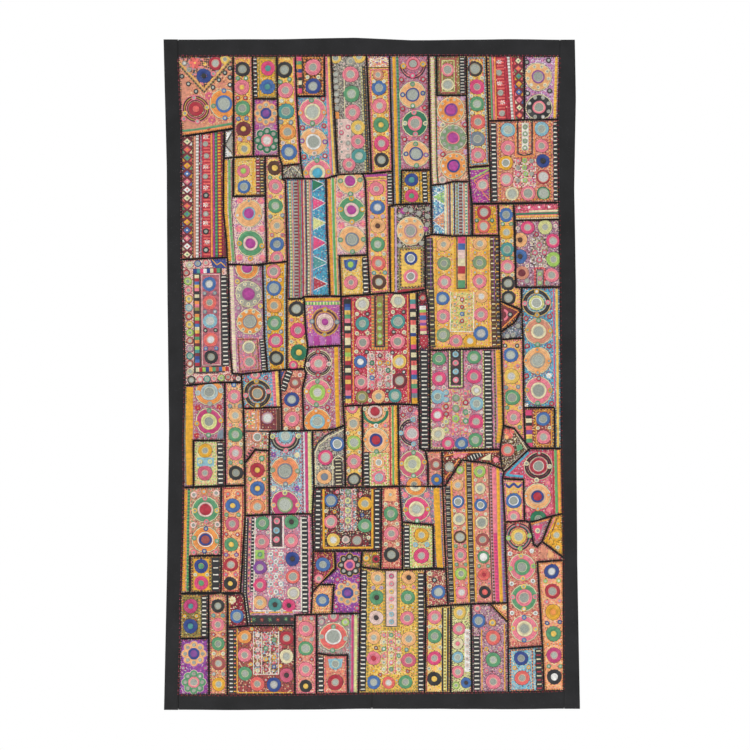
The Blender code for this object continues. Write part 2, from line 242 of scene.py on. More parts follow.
COLOURS = {
    "black": "28282b", "blue": "4470b0", "navy": "2b4590", "brick": "ad524e", "brown": "5a3423",
    "coral": "ee6a62", "cream": "ece0b4", "crimson": "b9283c", "cyan": "4fb0cc", "dark": "3d3230",
    "gold": "d8a332", "green": "5b9f70", "grass": "1f7a55", "grey": "aba69a", "hot": "e8487e",
    "lilac": "c9a0c4", "lime": "a6cf5f", "magenta": "b8409a", "maroon": "7a2733", "mauve": "b98aa0",
    "mustard": "eeae26", "olive": "948a48", "orange": "f59a48", "orchid": "c070b4", "pale": "f0cfc4",
    "peach": "fbb97c", "pink": "f28192", "purple": "8a4a9e", "rose": "d8607c", "salmon": "e09478",
    "sky": "8fc0cf", "slate": "7d8a98", "teal": "4e9a96", "white": "f2f0ea", "fuchsia": "cc3f7a",
    "leaf": "64b062", "straw": "dede92", "ivory": "efe9da", "sage": "84a077", "mist": "b2c4c6",
    "tangerine": "f4935f", "yellow": "f3c85c",
}
PALE_COLOURS = ("cream", "white", "pale")

# Stitch chart. A block has patches: cloth, fleck colours, then corners as column,row. The stitches of a
# patch follow it, back to front. An indented line goes on with the one above.

CHART = """
block fan_corner
patch salmon peach+rose+salmon+cream+brick 15,17 70.2,17 70.5,89.5 18.5,97.5
sprinkle 1.9 dark+black+slate+mauve+brown+pink+dark 16,18.5 67,17.8 41,49
line 1.8 dark+olive 15,25 41,53.4 69,21.6
line 1.2 yellow 15,22 41,50 68,19
laid salmon 16,30 29,48 21,64 17,58
laid salmon 20,79 30,84 40,84 40,89 22,92
flowers 6 coral 32,24
knots 2.6 yellow 42,25.5
ring 52.5,24.5 7 crimson 3.4
ring 62,20.5 5 yellow 2
ring 41,37 7.6 navy black2.6
buds 2.6 grey 21.5,24.5 26,31
buds 2.8 pink 50.5,35
buds 2.5 black 19,37.5 25.5,45 33,52.5 50,48.5 56,41 62,34 67,29.5 67,38.5 67,46
arcs 33,70 0 360 14 13 pink 13 11.8 black 11.8 11 yellow 11 9.8 maroon 9.8 8.8 pink 8.8 7.9 black
ring 33,70 7.4 crimson coral3.4
buds 2.7 pink 31,59 34.5,82.5 21,80 yellow 44,68.5 22,74.5
flowers 4 rose 46,57 49,81
big 61,65 15 orange blue 8.6 5.6
buds 2.6 blue 61,52 62,79 green 50.5,67
line 2.4 green 19.5,92 44,89 70,84.5
line 2.4 orange 19.5,95 44,92 70,87.5
knots 2.2 crimson 46,90
patch grey white+gold+slate 61.5,91.5 70.5,89.5 71,118.5 61.5,119.5
laid white 63,93.4 69,92 63,103
laid grey 69.4,94 69.4,112 63.4,105
laid white 62.4,108 69.4,117 62.4,118
line 1.1 black 70,92 62.4,106 70,115
block brocade_strip
patch maroon crimson+dark+rose 18.5,97.5 61.5,91.5 60.5,125 60.5,172 63.5,200 64.5,218.5 18.5,220.5
mosaic 24.2,98.5 24.2,219.5 9.5 8 maroon+cream+coral+green+mustard+blue+pink+white
line 1.2 olive+dark 29.8,97 29.8,220
line 2.2 salmon 31.8,97 31.8,220
line 2.8 white+grey 34.3,96 34.3,220
line 1.4 slate+mauve 38,96 38,220
line 1.6 crimson 39.8,95 39.8,220
line 7.5 crimson+coral 43.6,94 43.8,219.5
buds 2.9 grey 42.5,105 43.5,117 42.5,137.5 43,175
buds 3.3 black 43,156.5 43,192.5 43,211
flowers 3.2 white 43,98 43,128 43,148.5 43,166 43,184 44,203
line 2 orange 48.4,94 49,219
line 1.4 magenta 50.6,93 51.2,219
line 2.4 green+grass 53,93 53.8,219
line 3 mustard+crimson 56,92 57.5,219
line 1.6 maroon 59,92 61.5,219
block rosette_columns
patch yellow crimson+orange+rose 70.2,17 89.5,17 90.5,60 90.6,117.5 71,118.5
dots 2.2 1.1 pink
ring 79.5,30.5 7.6 black 3.6
ring 79,48.5 7.8 pink yellow2.4
ring 79.5,69.5 7.8 green 3.6
ring 80.5,90 7.6 maroon yellow2.6
ring 81.5,110 7 yellow 3.2
buds 2.3 green 75,39.5 83,39.5 crimson 75,59 82.5,59 blue 75.5,80 83.5,79.5 lilac 77,100.5 86,99.5
patch mustard olive+gold+cream 89.5,17 114,17 114.5,60 90.5,60
ladder 91.9,18.5 92.4,58.5 4.4 4.1
line 1 olive 96,19.5 112,19.5 112.6,58 96.6,58 96,19.5
line 1 gold 97.8,21 110.4,21 111,56.5 98.2,56.5 97.8,21
ring 105,29.5 7.4 hot teal3
ring 104.5,48 7.8 blue teal2.8
patch mauve orchid+cream+purple+pink+magenta 90.5,60 114.5,60 116,117 90.6,117.5
rosette 103,74.4 12.6 peach coral navy purple3.6
rosette 104,101.5 13.6 grass pale pink 3.8
flowers 2.6 magenta 94,88 113,88 94,114 112,64 95,62.5
block yellow_column
patch yellow orange+cream+crimson 114,17 132.5,17 133.5,57 138,125 119.5,127 116,117 114.5,60
line 1.5 pink+rose 130.6,19 132,58 135.8,124
ring 121.5,31 8.2 black 4
ring 122.5,51.5 8 pink 3.4
ring 123,72.5 8.2 teal 3.8
ring 124.5,93 8.2 orange 4
ring 126,113 8.2 blue 3.8
buds 2.4 green 117.5,43 126.5,40.5 cream 118.5,62 128.5,61.5
buds 2.5 slate 118,83 128,83.5
buds 2.4 pale 120,104 130,102.5
patch grey dark+olive+slate 119.5,127 138,124.5 140.5,139.5 119,140
line 0.9 dark 119.5,139 126,128 132,139 138,126
line 0.9 cream 120,134 130,127 139,136
block turquoise_medallions
patch brown orange+gold+maroon 132.5,17 161.5,17 161.5,57.5 133.5,57.5
bars 135.7,18 136.3,54.5 5.6 hot*4 green*3.4 mustard*4 navy*3.6 coral*4 black*3 cream*4 black*3.4 hot*4.6
line 1 black 139.6,18 140,57
dots 1.9 1.1 orange
line 1.2 orange+brown 142,19.5 159.5,19.5 159.8,55.5 142.4,55.5 142,19.5
ring 150,28.5 8.4 pink 3.6
ring 150,47.5 8.2 navy 3.8
buds 2.2 cream 144.6,38.5 155.4,38.5
patch cyan pink+teal+rose+cream+crimson 133.5,57.5 161.5,57.5 161.5,17 168.3,16.8 175,136 163,139.5
  140.3,139.7 138,124.8
line 2.6 pink 163,17 164.6,60 168.4,136
line 2.4 yellow 165.6,17 167.2,60 171.6,136
line 1.2 brown 167.4,17 169.2,60 173.6,136
big 149.5,73 14 pink cream 8.3 6
big 150.5,103 14 peach white 7.9 5.6
big 154.5,134 14 pink cream 8 cyan5
buds 2.8 green 148.5,61.5 149.5,84.5 154,121.5 orange 137.5,74 161,73.5 pale 150,91.5 151.5,114.5 purple
  139,102 162,103 mustard 143,134 165.5,133
buds 2.6 crimson 160,60 161,87 139.5,89 162,117 141,118
block grey_column
patch grey dark+pale+brown+dark 168.3,16.8 203.5,16.5 208.5,134.5 175,136
line 1.3 grey+dark 172,30 174,60 177,80 177,134
buds 2.9 grey 173,35.5 173,42 173.3,48.5 173.6,55.5 173.8,62 174,69.5
satin orange 172,73 176.4,73 176.8,80 172.6,80
line 1 cream 181,28 182,78
ring 187.5,22.5 5 grey 2.2
ring 196,17.5 7 yellow 3
ring 172.5,19 6 yellow 3
ring 187.5,35.5 8.4 pink 3.8
ring 188.5,55 8.4 green 4
ring 189.5,73.5 8.2 pink 3.4
ring 195,88.5 7.4 yellow 3
ring 195,102.5 7.4 pink 2.8
ring 196,117 7.8 teal 3.2
ring 186,125.5 6.8 pink 2.8
laid pale 175,80 188,80 188.4,120 175.4,120
buds 2.6 pale 178.4,85 178.6,103 178.8,113 185,97 185,110 rose 178.4,93.6 185,88 grey 185,104 185,117
line 1.1 straw+olive 198.2,28 200.2,78 202.6,134
line 3 black 200.6,27 202.8,78 205,134
dash 1 olive+mustard 200.6,27 202.8,78 205,134
patch yellow crimson+cream+orange+pink+mustard 203.5,16.5 226.5,16.2 229.5,132.5 208.5,134.5
sprinkle 1.5 pale+white+pale+purple+pink+white 205,17.4 226,17.4 226,27.8 205.4,27.8
line 1 black 205,29 226.5,28.6
line 1.3 pink+rose 207.3,31 225.4,30.6 227.8,130.6 210.3,132.4 207.3,31
ring 215,36 5.4 salmon 2.4
ring 216,49 7.6 blue 3.4
ring 216.5,67 7.6 pink 3
ring 218,86 7.8 green yellow2.6
ring 218.5,104.5 7.8 hot 3.2
ring 218.5,121 7.4 black 3.5
buds 2.1 cream 211,42.5 221,42.5 211,58.5 222,58.5 212,77 223.5,76.5 212,95.5 224.5,95
block crimson_medallions
patch mauve crimson+rose+brick+pink+crimson 226.5,16.2 265.3,16.2 267.5,131 238.5,131.5 238,165.5
  230.5,166 229.7,132.6
line 1.6 slate 228,18 231,130 232.2,165
line 3.2 mustard 230.9,18 233.6,130 234.4,165
line 2.4 grass+green 234.2,18 237,130 237.4,165
arcs 250,26 90 270 13.6 12.2 dark 12.2 11.4 pink 11.4 10.2 dark
ring 250,25 7.2 pink 4 crimson
buds 3 mustard 240.4,27.4 260,25.4 hot 249.6,37
big 249.5,56 13.6 peach navy 7 5
big 252,84.5 13.4 grass pink 7.4 4.6
big 253,115 13.6 peach navy 7 5
buds 2.7 green 249.5,45.4 249.8,67 252.6,105 253.4,126.6 navy 239.7,56 259.8,54.4 243,115 purple 263,116
buds 2.6 cream 242,84.5 262.5,84.5
buds 2.8 pink 251,73.6 252.4,95.4
buds 2.7 crimson 238.5,41 260,40.5 239.5,70 261.5,69 241.5,100.5 263,98.5
flowers 2.4 pink 245,36 256,36 247,99 259,70
patch mustard olive+brown+cream 238.5,131.5 267.5,131 268.5,164.8 238,165.5
line 1.2 olive+brown 241,133 256.6,133 256.8,163.6 240.6,163.8 241,133
ring 248.5,141 6.8 navy teal3
buds 2.2 cream 243,150 254,150
ring 248.6,157 6.8 hot green2.6
ladder 261.4,132.5 262.4,163.8 5.2 3.6
block mirror_medallions
patch olive brick+cream+grass+crimson 273.5,17 303,16.5 303.5,56.5 274,56.5
line 1.6 brick 277.5,20 292.5,20 292.8,54 277.8,54 277.5,20
line 0.9 straw 279,21.6 291,21.6 291.3,52.4 279.3,52.4 279,21.6
ring 284.6,31 6.8 pink 4
ring 284.6,46 6.6 cream 4
ladder 299,18.5 299.6,54.8 5.2 3
patch salmon cream+crimson+lilac 265.3,16.2 273.5,17 274,56.5 303.5,56.5 305.5,128.5 306.3,143 291,142.7
  279,145.2 268.2,146.5 267.5,131
line 3.4 pale+straw 269,18 271,130 272,145
line 1.6 grass+dark 272.2,18 274,130 275,144
big 288,71 13.8 orange purple 6.6 magenta5 10 peach
big 290,99 13.8 sage pink 6.6 magenta5 10 grey
big 290.5,127 13.6 orange navy 6.6 magenta5 10 peach
buds 2.8 cream 279.9,86 crimson 301.8,85.8 279.9,115.4
ring 279.5,141 4 pale 1.8
flowers 2.8 lilac 277,85 301,85 277,113 303,113 277,59 300,59
patch yellow crimson+cream+pink 303,16.5 323.3,16.6 325.5,82 327,126.5 305.5,128.5 303.5,56.5
edge 2.6 1.5 slate+sky
dots 3.9 0.9 crimson+pink
ring 312,30 7.8 dark 4.6
ring 314,48 7.8 hot 3
ring 314,65 7.8 green 3.6
ring 315,83 7.8 coral 3.4
ring 314.5,100 7.8 slate 3.4
ring 315,116 7.6 pink 3.2
buds 2.1 cream 308,39 319,39 308.5,57 320,57 309,74 321,74 309.5,91.5 320,91.5 309.5,108 321,108
block lilac_medallions
patch crimson maroon+dark+rose 323.3,16.6 361,16.9 361.5,81 325.5,82
line 1.4 yellow+dark 324.9,18 327,81
line 2 green 327.3,18 329.2,81
line 1.6 pink 329.5,18 331.3,81
line 1.8 orange 331.6,18 333.2,81
line 7.4 crimson+coral 337,18 339,81
buds 3.2 grey 336,34 337.5,54 339,74.5
flowers 3 white 336.5,23 337,44.5 339,63.5
line 1.6 crimson 342,18 345.5,81
line 2.6 white+grey 345.2,18 349.6,81
line 1.4 coral 348,18 351.8,81
mosaic 355,18 356.6,80.5 8 8 maroon+cream+coral+green+mustard+blue+pink
patch lilac magenta+white+pink 361,16.9 397,17.2 395,80.5 361.5,81
line 3 yellow+mustard 393.5,18 391.6,80
big 375,38 14 peach purple 6.6 4.6 9
big 376,68.5 13.5 black pink 6.6 4.4 8 grey
buds 2.7 dark 363.8,23.5 385.5,21.5 364.5,54.5 386.5,52
block bodice_upper_right
patch salmon crimson+dark+cream+olive 325.5,82 361.5,81 395,80.5 395.8,163.7 328,164.5 327,126.5
ladder 330.4,84 331.6,163 5.6 4.1
ladder 392.3,83 392.8,162 4.6 4.1
line 1.6 mustard+brick 336.4,83 337.2,161 387.2,160.4 386.8,82
ring 345,91 7.4 sky 3.6
ring 345,109 7.6 pink 3
ring 342.8,124 7.4 mustard 3.4 white
line 1.4 orange+brick 356,119.4 371.6,118.8
ring 343.2,140.5 7.2 pink 4.2
ring 349,155 7 cream 4.2
ring 365,154.5 7.6 pink 4.5
ring 380.5,154.5 6.8 grass 4.8
ring 380.2,138 7.2 crimson 4.8
ring 380,122 7 navy black2.8
ring 378.6,107 7 pink 3
ring 378.6,90 7.4 sky 3.4
line 1.3 orange 352.4,84 352.8,117.4 371.4,117.2 371,84
line 1.6 black 354.5,82 355,114.5 361,117 369,114.5 369,82
laid ivory 358.6,84 365.6,84 365.4,111 358.8,111
line 1.4 rose+yellow 357,82 357.4,112.6 366.6,112.6 366.8,82
buds 2.6 sage 362,88 362,95 362,102 361.8,109
sprinkle 1.5 pale+white+dark+cream+ivory+magenta+pink 350.5,120 372.5,120 373,149 350.5,149
buds 2.6 lime 361.5,121.5 361.5,128.5 362.5,135 362,141.5
buds 2.4 pink 355,122 355,135.5 368.5,128.5 368,141.5 grey 355,128.5 368.5,122 368.5,135 355,141.5
block purple_star
patch magenta purple+lime+pink 305.5,128.5 327,126.5 328,164.5 309,165 306.3,143
line 1.6 lime 307.5,130.5 326.5,129
line 1.6 lime 308.5,140 326,130.5
line 1 orange 311,142 326.5,133 326.8,162 311,142
ring 319.5,146 6.6 pink 3.8
patch mustard olive+crimson 309,165 335,164.7 336,196.7 309.5,196.7
line 1.1 pink+rose 311,167 333.4,166.8 334.2,194.6 311.6,194.8 311,167
ring 321,173.4 7.4 crimson 3.8
buds 2.2 grass 313.6,181.5 329,181.5
ring 320.6,187.4 6.6 coral 3.6
block peach_medallions
patch yellow cream+orange+pink+cream 70.5,118.5 102,116.8 102.5,157 70.5,157.5
line 1.2 mustard 73,120.5 90.6,119.6 91,155.2 73,155.4 73,120.5
line 0.9 gold 74.8,122 89,121.4 89.2,153.6 74.8,153.6 74.8,122
ring 80.5,132 6.6 pink lime2.8
ring 81,148 6.8 blue 3.3
ladder 94.8,118.5 95.2,155.6 4 2.8 white+pink maroon
ladder 98.8,118.5 99.4,155.6 4 2.8 yellow+cream dark
patch pale magenta+purple+pink+peach 61,119.5 70.5,118.5 70.5,157.5 102.5,157 104,224.5 90,226.5 65,225.5
  64.6,218.5 63.5,200 60.5,172
line 3.8 mustard 62.6,121 62.8,172 66.8,222
line 2.8 leaf+sage 66.4,121 66.8,172 70.6,223
line 1 brown 69,121 69,172 72.8,224
flowers 3.4 pink 76,190 99,190 76.5,219 99.5,219 77,162 98,162
big 86,174.5 14 peach sky 6.6 magenta5
big 87.5,204.5 13.6 green pale 7.4 magenta5
buds 2.7 peach 86,162 74.5,176.5 96.5,177 pale 86,190 mustard 76.5,204.5 99,207 87.5,219.5
block left_column
patch yellow cream+pink+peach+pale 102,117.2 116,117 119.5,127 119.3,140 122.5,141.5 124.5,222.5 104,224.5
  102.5,157
dots 2 1.1 pink+rose
ring 111.8,129 7.4 brown yellow3
ring 112.5,147.5 7.4 pink 2.8
ring 112.5,167 7.4 green 3.2
ring 114,186.8 7.4 peach 3
ring 114,205.3 7.2 blue 3
ring 114,218.6 6.6 pink 2.8
buds 2.2 green 107,138.5 118,138.5 pink 107.5,157.5 118,157.5 slate 107.5,177.5 119.5,176.5 rose 109,196
  119.5,196
block pennant_stripes
patch cyan blue+navy+teal+sky+slate+crimson 119.3,140 140.3,139.7 163,139.5 164,190 167,257 141,257.7
  139,259.5 123.7,260 124.5,222.5 122.5,141.5
line 2 brick+maroon 123.2,142 126,222 125.5,259
line 2.2 straw+olive 126.6,142 128.6,222 128.2,259
line 1.6 salmon 129,142 130.8,222 130.6,259
line 4 grey+maroon 132.4,142 133.8,222 133.6,259
line 1.4 crimson 135,141 136.4,222 136.4,259
line 1.6 olive 136.6,141 138,222 138,258.5
line 1.8 crimson 138.8,141 140.2,222 140.2,258
line 1.2 peach 140.6,141 142,222 142,257
line 1.8 maroon+dark 142.6,141 143.8,222 143.8,257
line 1.8 cream+olive 144.6,141 145.8,222 145.8,257
line 1.8 salmon 146.6,141 147.7,222 147.7,257
line 1 mauve 148.4,141 149.4,222 149.4,257
satin grass 149.6,141 160.5,145 149.6,152
laid hot 150,158.5 162,164 150,171
laid straw 150.2,178.5 162.5,184 150.2,191
laid hot 150.4,197.5 163,204 150.4,211
laid teal 150.6,217.5 164,224 150.6,230
laid crimson 150.8,238.5 164,245 150.8,251
line 0.8 white 149.8,152.5 161.5,145.2 150,140.5
line 0.8 white 149.8,158 163,164 149.8,171.5
line 0.8 white 150,178 163.4,184 150,191.5
line 0.8 white 150.2,197 164,204 150.2,211.5
line 0.8 white 150.4,217 165,224 150.4,230.5
line 0.8 white 150.6,238 165,245 150.6,251.5
knots 0.6 white 152,161.5 152,167.5 155,162.8 155,166.2 158,164 152,241.5 152,248 155,243 155,247
  158.5,245 olive 152.4,181.5 152.4,187.5 155.4,182.6 155.4,186.2 158.5,184 blue 152.6,201 152.6,207.4
  155.6,202.4 155.6,206 158.8,204 white 152.8,221 152.8,227 155.8,222.6 155.8,225.8 159,224
block orchid_medallions
patch pale magenta+purple+pink+peach 163,139.5 175,136 199.7,134.8 202.5,142 204.5,216 176.5,217 178,257.6
  167,257 164,190
line 3.4 mustard+orange 166,140 167.5,190 169.4,256
line 2.6 leaf 169.8,139 170.8,190 173,256
line 1 mustard 172,138.5 173,190 175.4,256
flowers 3.4 pink 176.5,156 199,155.5 178.5,187 200,185
big 187,142 13.6 peach cream 7 magenta5.2
big 188.5,171 13.6 green pale 7.4 magenta4.6
big 189,200.5 13.8 peach slate 7 4.6
buds 2.7 green 177.5,142 197,141 187.5,155 mustard 177.7,170.5 199.3,170.5 188.5,159.6 189,183 green
  177.5,201 200.3,200.5 189.5,212.6
patch yellow cream+gold+olive+pink 176.5,217 204.5,216 207,255.5 178,257.6
line 1.2 gold 178.6,219 197.6,218.4 198.6,254.4 179.6,255.6 178.6,219
laid navy 180.6,221 194.8,221 193,229.5 187.6,232.4 182,229.5
ring 187.6,225.5 5.4 blue lime3
ring 188,243.5 7.2 pink 2.4
ladder 202.2,218 203.2,254.6 6.2 4.1
block dotted_column
patch yellow pink+crimson+orange 199.7,134.8 208.5,134.5 229.7,132.6 230.5,166 226,168 227.5,253.6
  207,255.5 204.5,216 202.5,142
line 2.6 magenta 201.5,137 224,136
line 1 olive 202,140.4 223,139.2
ladder 226.6,134.5 227.2,165.5 5.4 3.2
line 1.2 pink+rose 205.2,142.6 223.4,141.4 224.8,251.6 209.2,253 207,216 205.2,142.6
ring 213.4,150 7.4 pink 2.4
ring 214.5,168.5 7.4 blue 3.2
ring 214.7,187 7.6 peach brown2.6
ring 214.7,205.5 7.4 green 3.2
ring 215.5,224.3 7.4 coral 3.2
ring 216,243 7.4 brown 3.2
buds 2.2 cream 209,159.5 220,159.5 lilac 209,178 220,177.6 pale 209,196.5 220,196 cream 209.4,215 221,215
  teal 211,234 222,233.6
block lilac_medallion
patch dark grey+lilac+cream+pink 226,168 230.5,166 268.5,164.8 269.3,195.2 262,198 262.4,250.5 234.5,254.6
  227.5,253.6
line 3.4 mustard 229.4,169 229.8,252.6
line 1.8 lilac 232.6,168 233.2,253
big 247.5,192 14.4 peach mauve 6.6 4.8 8
buds 2.8 grey 242.5,171 248,171.5 237,177 256,174.5 264.5,177.5
buds 2.6 grey 236.5,206.5 258.5,204.5 264.8,170 264,186
flowers 3 magenta 240,172 262,190
line 1.1 olive 236,209.6 259.6,208.4 259.8,249 236.6,249.8 236,209.6
laid yellow 238,211.4 257.6,210.4 257.8,247 238.6,247.8
line 1.1 mustard+dark 237.8,211.2 257.8,210.2 258,247.2 238.4,248 237.8,211.2
ring 247.8,219.4 7 navy 3.4 white
ring 247.8,237.5 7.6 pink 3.6 white
line 2.6 crimson 235,252.6 261,249
block pennant_pair
patch sky cream+white+teal 268.2,146.5 279,145.2 291,142.7 306.3,143 309,165 309.5,196.7 290,197.2
  269.3,195.2 268.5,164.8
sprinkle 1.7 sky+blue+cyan+white+blue 269,147.5 281,146 281.4,196 269.8,195
laid lime 270,158 281,152 281,165
laid orange 270,181.5 281,173.5 281,190
line 0.8 white 281,151 269.6,158 281,166
line 0.8 white 281,172.4 269.4,181.5 281,191
line 1.8 cream 282.4,146 282.8,196
line 1.6 salmon 284.4,146 284.8,196
line 1.8 maroon 286.6,145 287,196
line 1.6 yellow 288.8,144 289.2,196.4
line 1.8 maroon+dark 291.2,144 291.6,196.4
line 2.2 olive+grey 293.8,144 294.2,196.4
line 3.8 grey+maroon 297.4,144 297.8,196
line 1.8 salmon 300.8,144 301.2,196
line 1.8 cream+green 303,144 303.6,196
line 2 brick+crimson 305.4,144 306,196
line 2 black 307.6,152 308.2,196
block bodice_mustard
patch yellow pink+orange+rose+mustard 262,198 269.3,195.2 290,197.2 309.5,196.7 336,196.7 337,262
  338.3,309 313,309.7 272,311.4 267,310.7 265.5,266 262.4,250.5
ladder 266.2,199 267.2,250 6.8 4.1 grey+olive dark
ladder 268.2,250 269.6,308.6 5.6 4.1 cream+olive dark
line 1 purple 267.2,199 268,250
ladder 329,198 331.4,307.6 4.6 4.1 cream+olive brown
ladder 334,198 336,307.6 4 4.1 mustard+grey dark
line 1 purple 330.6,198 331.4,262
line 1.8 mustard+gold 272.6,199.5 273.4,307.8 326,306.6 324.6,198.8
ring 280.5,205.5 7 peach 2.6
ring 281,224.5 6.8 sage 3
ring 281.5,243.2 7 pink 3.2
ring 279.5,259.5 7 blue 3.2
ring 280,277.5 7.2 pink 3
ring 280,296 7.2 sage 3.4
ring 317,204.8 7 peach 3
ring 316.5,223.7 7 sage 3
ring 316.5,242.3 7.2 pink 3.2
ring 318.4,257.4 6.8 peach 2.8
ring 318,275.5 7.2 pink 3
ring 318,294.5 7.6 blue 3.6
ring 293,302 6.6 pink 2.8
ring 307,302 6.6 mustard 2.8
buds 2.3 mustard 276,233.6 286,215.5 286,233.6 276,215.5 283.5,286 322,213.6 311.8,233.5 314,285 323,233
  312,213.5
line 2.2 mustard+gold 291.6,198 291.8,251.4 305.4,251.4 305.4,198
line 1.3 black 293.8,198 294,249.4 303.2,249.4 303.2,198
bars 298.5,198 298.5,248.8 7.2 hot*6 blue*6 pale*8 cream*7 crimson*7 peach*6 green*7
sprinkle 1.6 straw+lime+peach+cream+sage+straw 287.5,253.5 310.5,253.5 310.5,292 287.5,292
line 1 ivory 287.4,252.8 287.4,292.6 310.8,292.6 310.8,252.8
buds 2.3 peach 291.8,258 291.8,265 291.8,272 291.8,279 291.8,286.6 306.2,258 306.2,265 306.2,272 306.2,279
  306.2,286.6 crimson 299,260.6 299,268 299,282 blue 299,275 yellow 299,288.4
block mint_column
patch yellow pink+lime+crimson+peach 335,164.7 350.7,165 353,248 358.5,248.5 358.7,271 337,262 336,196.7
line 1 pink+yellow 337.4,167 338.4,260
line 1 pink+yellow 348.6,167 350.8,249 356.4,251 356.4,267
ring 343,176 7.2 blue 3.2
ring 343.4,193.4 7.2 mustard 3.2
ring 344,210.6 7.2 teal 3.2
ring 344.6,227.8 7.2 pink 3.5
ring 345,244.4 7.4 black 3.5
ring 345.4,259 7.4 black 3.8
buds 2.1 green 339.6,185 348,185 340,219.3 348.6,219 cream 340,202 348.4,202 340.6,236.5 349.2,236
patch dark orange+crimson 337,262 358.7,271 352,283 338,293
laid maroon 338.6,266 355,273 338.6,288
line 1.2 orange 338.4,264.4 356,272.6 338.4,290
arcs 340,276 10 170 6 3.4 pink
buds 2.8 dark 347,275.5
patch slate dark+white+mauve 358.7,271 360,299 338.4,300.5 338,293 352,283
buds 2.6 grey 344.5,297 350,296 355,287
block bodice_right_edge
patch rose pink+cream+grass 350.7,165 395.8,163.7 396.5,180.5 352,181.5
sprinkle 1.7 rose+hot+crimson+pink+brick 351.4,165.6 395.4,164.4 395.4,172 352,173
knots 1.6 white 356,169 366,168.5 376,168.2 386,168
line 2 cream 366,172.6 396,171.6
line 2.2 grass 353,175.2 396,174
line 2.2 yellow+orange 353,178 396,176.8
line 1.6 cream 353,180.2 396,179
patch mauve dark+cream+crimson+rose+white 352,181.5 396.5,180.5 397.5,248 358.5,248.5 353,248
ring 364.5,188.6 7 hot 3
ring 382,188.2 7.4 straw 3
ring 357,201 7.4 peach brown2.6
ring 390,202 7.4 hot 3.6
ring 357,217.6 7.2 blue dark2.6
ring 390.4,220.4 7.6 lime 3.2
ring 358.8,234 7.2 salmon maroon3.6
ring 388.6,236.2 7.4 pink 3.5
buds 2.9 rose 376.2,206.2 371.8,213.8 381.4,213.5 376.3,221
buds 2.3 crimson 373.4,195.4
buds 2.2 pale 392.5,187 354.6,189.6 364,227 382,227
sprinkle 1.5 grey+cream+dark+olive+white 367,198 385,198 385,228 367,228
laid grey 374,231 379.6,231 379.6,247.6 374,247.6
line 1.8 crimson+coral 372,247.6 372,229.4 381.6,229.2 381.8,247.6
line 1 dark 373.6,247.6 373.6,231 380,231 380.2,247.6
buds 2 lime 376.8,235 376.8,244 pink 376.8,239.6
buds 2.6 grey 364,242 384,244
block corner_strip
patch pale crimson+orange+pink 18.5,220.5 64.6,218.5 65,225.5 67,310 69.5,334.5 78.5,335.3 79,343.6
  62,343.4 22,346.5 20.3,260
laid dark 30,229.5 59,228.5 62,334 31,334.5
laid navy 47,220 63,219.4 64,229.6 50,228.6
line 1.4 mustard 49,220.5 54,226 58,223.4 63,228
ring 26.5,226 3.6 cream 1.6
ring 34.8,224.6 3.4 blue 1.6
ring 43,223.8 3.4 pink 1.6
ring 23.5,234 3.4 crimson 1.6
ring 25,242.4 4 lime 1.8
ring 25.5,251.2 3.8 pink 1.6
ring 26,260 3.8 yellow 1.6
ring 26,268.7 3.8 sky 1.8
ring 26,277.4 3.6 crimson 1.6
ring 26.5,285.6 3.8 yellow 1.6
ring 27,293.7 3.8 lime 1.6
ring 27,301.8 3.6 brick 1.6
ring 27,309.6 3.8 mauve 1.6
ring 27,317 3.6 teal 1.6
ring 27,324.7 3.6 brick 1.6
ring 27.4,332.4 3.6 cream 1.6
ring 28.5,341 4.2 black 2.2
ring 37,340.4 3.4 pink 1.6
ring 44.2,340 3.5 teal 1.6
ring 51.2,339.5 3.4 pink 1.6
ring 58.4,339 3.4 lime 1.6
ring 65.2,338 3.2 crimson 1.6
satin dark 69.8,336 78,336 78.4,342.4 70,342.6
buds 2.6 pale 75.4,339.6
buds 2 crimson 71.2,338.6
bars 30.6,232.4 57,231.4 4.4 navy teal hot white navy cream crimson green
bars 33.8,236 34.4,327 4.4 cream crimson blue yellow pink black cream black orange pink olive dark orange
  lime crimson blue cream yellow crimson green orange maroon lime teal maroon navy blue crimson
bars 33,330.8 66,329.8 4.2 cream crimson lime navy orange green brick blue orange crimson
laid pink 37.6,234.8 57.2,234.2 58.4,327 38.6,327.6
line 1 pale 38.8,236 56.4,235.4 57.4,325.6 39.6,326.2 38.8,236
ring 46.2,245 7.4 blue 3.2
ring 46.6,263.5 7.4 coral 3
ring 47.2,282 7.6 sky 3.5
ring 47.8,300.6 7.5 coral 3.4
ring 48.2,318 7.3 black 3
buds 2.2 slate 41.6,254.4 51.8,254 42,272.8 52,272.6 black 42.4,291.4 52.6,291.2 blue 42.8,309.6
  53.4,309.4
ladder 60.6,236 63,327 7 4.1
block grey_medallions
patch mauve magenta+cream+grey+pink 65,225.5 90,226.5 99.5,226 101.5,298 104.5,332.4 78.5,335.3 69.5,334.5
  67,310
line 4 pale+cream 68.4,227 70,280 72,334
line 1.2 maroon 65.8,280 68,310 69.4,333
big 84,229 11.8 orange cream 6.4 magenta5
big 85.5,255 13.4 grey magenta 6.4 magenta5.4 9
big 87,282.5 13.4 orange slate 7 5.3 9
buds 2.6 yellow 74.5,242.5 97.5,267 mauve 96,240 75.5,269
line 1 lilac 98.6,228 99.6,296
sprinkle 1.7 salmon+olive+mauve+salmon+pink 74,299 95.4,298.6 97.6,332 76,334
line 1.6 brick+maroon 75,300.4 94.4,300 96.2,330.6 77,332.4 75,300.4
ring 86,308 6.8 cream 4.2
ring 86.6,323 6.8 pink 4.2
ladder 99,300 101.4,331.6 5 3
block narrow_column
patch mustard gold+cream+crimson 99.5,226 104,224.5 124.5,222.5 123.7,260 124,330.5 104.5,332.4 101.5,298
line 1.8 sky+slate 101.8,227 103.6,298 106.4,331
